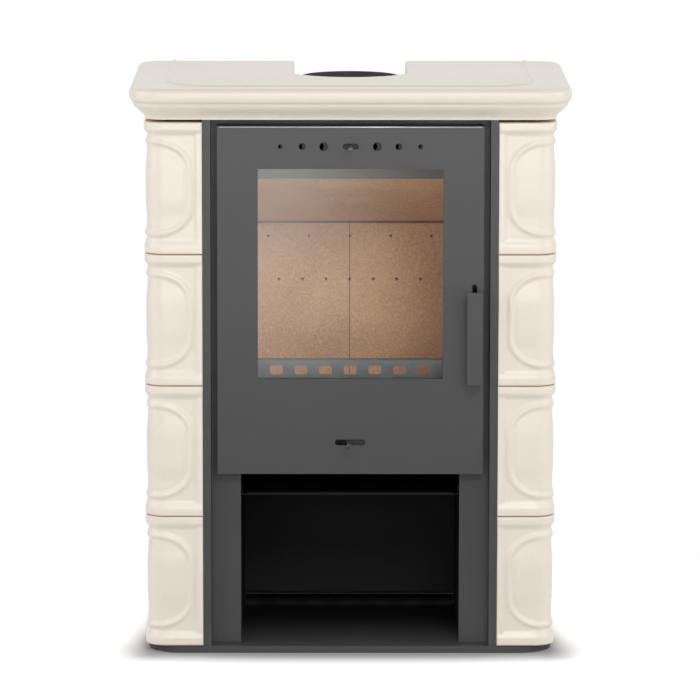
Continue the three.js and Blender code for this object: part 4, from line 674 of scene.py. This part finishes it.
def slab_rings():
    """Rows of points over the three paths, one above or beside another: up the notch, over its
    quarter-round edge, across the panel, over the bead (half a cosine wave), round the torus (two
    quarter ellipses), down the cyma (half a cosine wave) and back along the hollow underside."""
    outline, outward, bead_line, notch_line, notch_out = slab_paths()
    count = len(outline)
    soft, bead_half, bead_rise = 0.0035, 0.0038, 0.0023
    cyma_rise, cyma_out, foot_out, step_out = 0.024, 0.0185, 0.002, 0.0015
    torus_low, torus_high, swell = 0.013, 0.011, 0.004
    panel, wall, rib_wide, rear_closed = 0.016, 0.022, 0.012, 15
    edge_out = foot_out + cyma_out + step_out
    widest = slab_top - torus_high
    flat_top = slab_top - bead_rise

    def row(plan, z):
        return np.concatenate([plan, np.broadcast_to(z, (count, 1))], 1)

    rows = [row(notch_line, slab_foot)]
    for angle in np.radians(np.linspace(0, 90, 6)):
        plan = notch_line + notch_out * soft * (1 - math.cos(angle))
        rows.append(row(plan, flat_top - soft + soft * math.sin(angle)))
    run = np.gradient(bead_line, axis=0)
    run /= np.linalg.norm(run, axis=1)[:, None]
    across = np.stack([run[:, 1], -run[:, 0]], -1)
    across *= np.sign((across * (outline - bead_line)).sum(1))[:, None]
    field_edge = bead_line - across * bead_half
    for t in np.linspace(0, 1, 13)[1:-1]:
        rows.append(row((notch_line + notch_out * soft) * (1 - t) + field_edge * t, flat_top))
    for w in np.linspace(-1, 1, 9):
        rise = bead_rise * (math.cos(w * math.pi) + 1) / 2
        rows.append(row(bead_line + across * bead_half * w, flat_top + rise))
    top_edge = outline + outward * (edge_out + swell - torus_high)
    last_bead = bead_line + across * bead_half
    for t in (0.3, 0.6, 0.85):
        rows.append(row(last_bead * (1 - t) + top_edge * t, flat_top))
    for angle in np.radians(np.linspace(90, 0, 14)):
        outset = edge_out + swell - torus_high * (1 - math.cos(angle))
        z = widest + (torus_high - bead_rise) * math.sin(angle)
        rows.append(row(outline + outward * outset, z))
    for angle in np.radians(np.linspace(0, 90, 12)[1:]):
        outset = edge_out + swell * math.cos(angle)
        rows.append(row(outline + outward * outset, widest - torus_low * math.sin(angle)))
    for t in np.linspace(1, 0, 18):
        outset = foot_out + cyma_out * (1 - math.cos(math.pi * t)) / 2
        rows.append(row(outline + outward * outset, slab_foot + cyma_rise * t))
    hollow = np.full((count, 1), slab_top - panel)
    hollow[:rear_closed] = slab_foot
    hollow[-rear_closed:] = slab_foot
    wall_inner = outline - outward * wall
    rib = notch_line + notch_out * rib_wide
    rows += [row(wall_inner, slab_foot), row(wall_inner, hollow), row(rib, hollow)]
    rows.append(row(rib, slab_foot))
    return np.stack(rows, 1)


rings = slab_rings()
thin = np.zeros(rings.shape[:2])
slab = shell("glazed_slab", rings, True, "stove_body", cream, rim=thin, crease=50)
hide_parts("top_slab")

# ------------------------------------------------------------------ firebox lining
# Boards of pressed vermiculite: brown grains and gold flakes in a pale binder. They stand loose in
# the firebox shell; the rear lining is in two halves, pierced by rows of air jets, and the sloping
# baffle lies on the side linings.

# The shell gets the near-black paint: painted shade behind the air jets of the rear lining.
dress(shade_dark_paint, "firebox_shell")


def vermiculite(name):
    """Pressed vermiculite: a grain of pale and brown, with some flakes of gold. Gives back the
    material, its nodes and links, its shader and the colour that feeds it."""
    material, made, wire, shader = grained(
        name, (0.95, 0.63, 0.34), (0.60, 0.33, 0.15), 300, 12, 1.0, (0.8, 0.95), 0.0002,
    )
    place = made.new("ShaderNodeTexCoord")
    flakes = made.new("ShaderNodeTexVoronoi")
    flakes.inputs["Scale"].default_value = 420.0
    wire.new(place.outputs["Object"], flakes.inputs["Vector"])
    tone = made.new("ShaderNodeSeparateColor")
    wire.new(flakes.outputs["Color"], tone.inputs[0])
    gold, cover = (0.98, 0.78, 0.52), ramp(made, wire, tone.outputs["Red"], 0.70, 0.98, 0, 0.42)
    flaked = mixed(made, wire, cover, made["grain"].outputs["Color"], gold)
    wire.new(flaked, shader.inputs["Base Color"])
    return material, made, wire, shader, flaked


board, *_ = vermiculite("vermiculite")
dress(
    board, "rear_liner_left", "rear_liner_right", "side_liner_left", "side_liner_right",
    "floor_liner",
)

# The baffle's front edge is painted grey: painted shade where the door's top keeps the light off
# it.
front_shaded, made, wire, shader, colour = vermiculite("sealed vermiculite")
baffle_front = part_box("baffle")[0].y
shade_near, shade_far = baffle_front + 0.001, baffle_front + 0.004
behind = ramp(made, wire, coordinate(made, wire, "Y"), shade_near, shade_far, 0, 1)
front_shade_colour = mixed(made, wire, behind, (0.23, 0.20, 0.18), colour)
wire.new(front_shade_colour, shader.inputs["Base Color"])
dress(front_shaded, "baffle")

# ------------------------------------------------------------------ grate, log retainer, drawer
# A cast-iron grate loose in the floor, a folded retainer of blued steel behind the glass, and the
# ash drawer of thin painted sheet, which slides in under the grate.

iron, *_ = grained(
    "cast iron", (0.035, 0.034, 0.034), (0.075, 0.070, 0.066), 380, 20, 0.9, (0.55, 0.75),
    0.0004, 0.4,
)
dress(iron, "grate")
blued, *_ = grained(
    "blued steel", (0.155, 0.168, 0.18), (0.11, 0.12, 0.128), 130, 12, 0.8, (0.34, 0.46),
    0.00003, 0.75,
)
dress(blued, "log_retainer")
dress(paint, "ash_drawer")

# ------------------------------------------------------------------ door
# A tray of painted sheet steel with a window, a row of air holes and the slot for the latch. A
# welded frame behind it makes the channel for the rope seal. It hangs on the two hinge pins.

dress(paint, "door_plate", "door_frame")


def fold(name, width):
    """Rounds the edges of a folded sheet over a width, as its bends and its paint do."""
    weld = nodes[name].modifiers.new("weld", "WELD")
    weld.merge_threshold = 0.00001
    flat = nodes[name].modifiers.new("flat", "DECIMATE")
    flat.decimate_type = "DISSOLVE"
    flat.angle_limit = math.radians(1)
    edge = nodes[name].modifiers.new("edge", "BEVEL")
    edge.width = width
    edge.segments = 2
    edge.limit_method = "ANGLE"
    edge.angle_limit = math.radians(50)


door_round, fold_sink = 0.0018, 0.0016
fold("door_plate", door_round)
door_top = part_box("door_plate")[1].z
# A bright rod along the door's top edge: a painted highlight.
highlight_edge("door_fold", 0.2005, door_face + fold_sink, door_top - fold_sink, door_round, "door")

# ------------------------------------------------------------------ seals
# A round knitted rope of glass fibre, glued into the channel and pressed against the front panel,
# and a flat woven tape under the glass.

fibre, *_ = grained(
    "glass fibre", (0.33, 0.32, 0.30), (0.20, 0.19, 0.18), 700, 30, 0.9, (0.85, 0.95), 0.0003,
)
rope_low, rope_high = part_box("rope_seal")
rope_radius = (rope_high.y - rope_low.y) / 2


def knitted_rope():
    """A circle carried round a rectangle with round corners. Its radius swells by the product of
    two sine waves that climb round the rope in opposite directions, which gives crossed strands."""
    corner, step, lay, strands = 0.014, 0.0022, 0.014, 4
    mean, swell = 0.955, 0.045
    half_x = (rope_high.x - rope_low.x) / 2 - rope_radius
    half_z = (rope_high.z - rope_low.z) / 2 - rope_radius
    middle = (rope_low.z + rope_high.z) / 2
    places, outs = [], []
    for k, (sx, sz) in enumerate(((1, 1), (-1, 1), (-1, -1), (1, -1))):
        angle = np.radians(np.linspace(90 * k, 90 * k + 90, 13))
        out = np.stack([np.cos(angle), np.sin(angle)], -1)
        bend_centre = np.array([sx * (half_x - corner), middle + sz * (half_z - corner)])
        places.append(bend_centre + corner * out)
        outs.append(out)
    path, out = np.concatenate(places), np.concatenate(outs)
    closed = np.concatenate([path, path[:1]])
    run = np.concatenate([[0], np.cumsum(np.linalg.norm(np.diff(closed, axis=0), axis=1))])
    steps = np.arange(0, run[-1], step)
    place = np.stack([np.interp(steps, run, closed[:, k]) for k in (0, 1)], -1)
    out_closed = np.concatenate([out, out[:1]])
    out = np.stack([np.interp(steps, run, out_closed[:, k]) for k in (0, 1)], -1)
    out /= np.linalg.norm(out, axis=1)[:, None]
    turn = np.linspace(0, 2 * math.pi, 28, endpoint=False)
    climb = 2 * math.pi * round(run[-1] / lay) / run[-1] * steps[:, None]
    weave = np.sin(strands * turn[None] + climb) * np.sin(strands * turn[None] - climb)
    radius = rope_radius * (mean + swell * weave)
    wide = radius * np.cos(turn)
    x = place[:, :1] + out[:, :1] * wide
    z = place[:, 1:] + out[:, 1:] * wide
    y = (rope_low.y + rope_high.y) / 2 + radius * np.sin(turn)
    return np.stack([x, y, z], -1)


rope = shell("knitted_rope", knitted_rope(), False, "door", fibre, crease=80)
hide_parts("rope_seal")
dress(fibre, "glass_tape")

# ------------------------------------------------------------------ glass
# A pane of heat-proof glass, held against the tape by a folded rail on each side; four screws go
# through each rail.

pane, made, wire = blank("heat-proof glass")
clear = made.new("ShaderNodeBsdfPrincipled")
clear.inputs["Base Color"].default_value = (0.985, 0.99, 0.985, 1)
clear.inputs["Transmission Weight"].default_value = 1.0
clear.inputs["IOR"].default_value = 1.5
smear = made.new("ShaderNodeTexNoise")
smear.inputs["Scale"].default_value = 5.0
place = made.new("ShaderNodeTexCoord")
wire.new(place.outputs["Object"], smear.inputs["Vector"])
dull = made.new("ShaderNodeMapRange")
dull.inputs["To Min"].default_value = 0.0
dull.inputs["To Max"].default_value = 0.02
wire.new(smear.outputs["Fac"], dull.inputs["Value"])
wire.new(dull.outputs["Result"], clear.inputs["Roughness"])
gap = made.new("ShaderNodeBsdfTransparent")
gap.inputs["Color"].default_value = (0.92, 0.93, 0.92, 1)
path = made.new("ShaderNodeLightPath")
either = made.new("ShaderNodeMath")
either.operation = "MAXIMUM"
wire.new(path.outputs["Is Shadow Ray"], either.inputs[0])
wire.new(path.outputs["Is Diffuse Ray"], either.inputs[1])
choice = made.new("ShaderNodeMixShader")
wire.new(either.outputs[0], choice.inputs[0])
wire.new(clear.outputs[0], choice.inputs[1])
wire.new(gap.outputs[0], choice.inputs[2])
wire.new(choice.outputs[0], made["Material Output"].inputs["Surface"])
dress(pane, "door_glass")
dress(paint, "glass_rail_left", "glass_rail_right")

rail_head = [(0.0002, 0.0022), (0.0021, 0.0021), (0.0032, 0.0014), (0.0036, 0.0002),
             (0.0036, 0), (0.0002, 0)]
edge_inset, end_inset = 0.0055, 0.03
for word in ("left", "right"):
    low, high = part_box(f"glass_rail_{word}")
    outer = low.x + edge_inset if word == "left" else high.x - edge_inset
    for k, z in enumerate(np.linspace(low.z + end_inset, high.z - end_inset, 4)):
        screw(f"rail_screw_{word}_{k + 1}", rail_head, (outer, high.y, z), "door")

# ------------------------------------------------------------------ hinges
# Two lugs welded to the front panel; the door's two tabs rest on them, each with its pin of bright
# steel welded in.

dress(bright, "hinge_pin_upper", "hinge_pin_lower")

# ------------------------------------------------------------------ air controls
# Sliders of painted sheet run in channels behind the door skin; each is moved by a turned knob.

# The sliders are painted darker than the door: painted shade, for they lie back behind the door
# skin.
slider_shade_paint, _, _, shader = grained(
    "slider paint", (0.022, 0.022, 0.0225), (0.030, 0.030, 0.0305), 1500, 6, 0.8, (0.5, 0.56),
    0.00004,
)
shader.inputs["Specular IOR Level"].default_value = 0.3
dress(slider_shade_paint, "upper_slider", "lower_slider")
# The guides get the near-black paint: painted shade behind the door skin.
dress(shade_dark_paint, "upper_guide", "lower_guide")
satin, *_ = grained(
    "dark steel", (0.11, 0.11, 0.113), (0.075, 0.075, 0.078), 500, 60, 0.7, (0.32, 0.42),
    0.00002, 0.8,
)
dress(satin, "upper_knob", "lower_knob")

# ------------------------------------------------------------------ handle and latch
# A flat grip of painted steel on a lever that swings on a bright pivot in a bracket behind the
# skin; its hook goes under the keeper on the front panel.

dress(paint, "handle_grip", "latch_lever", "latch_bracket")
dress(bright, "latch_pivot")
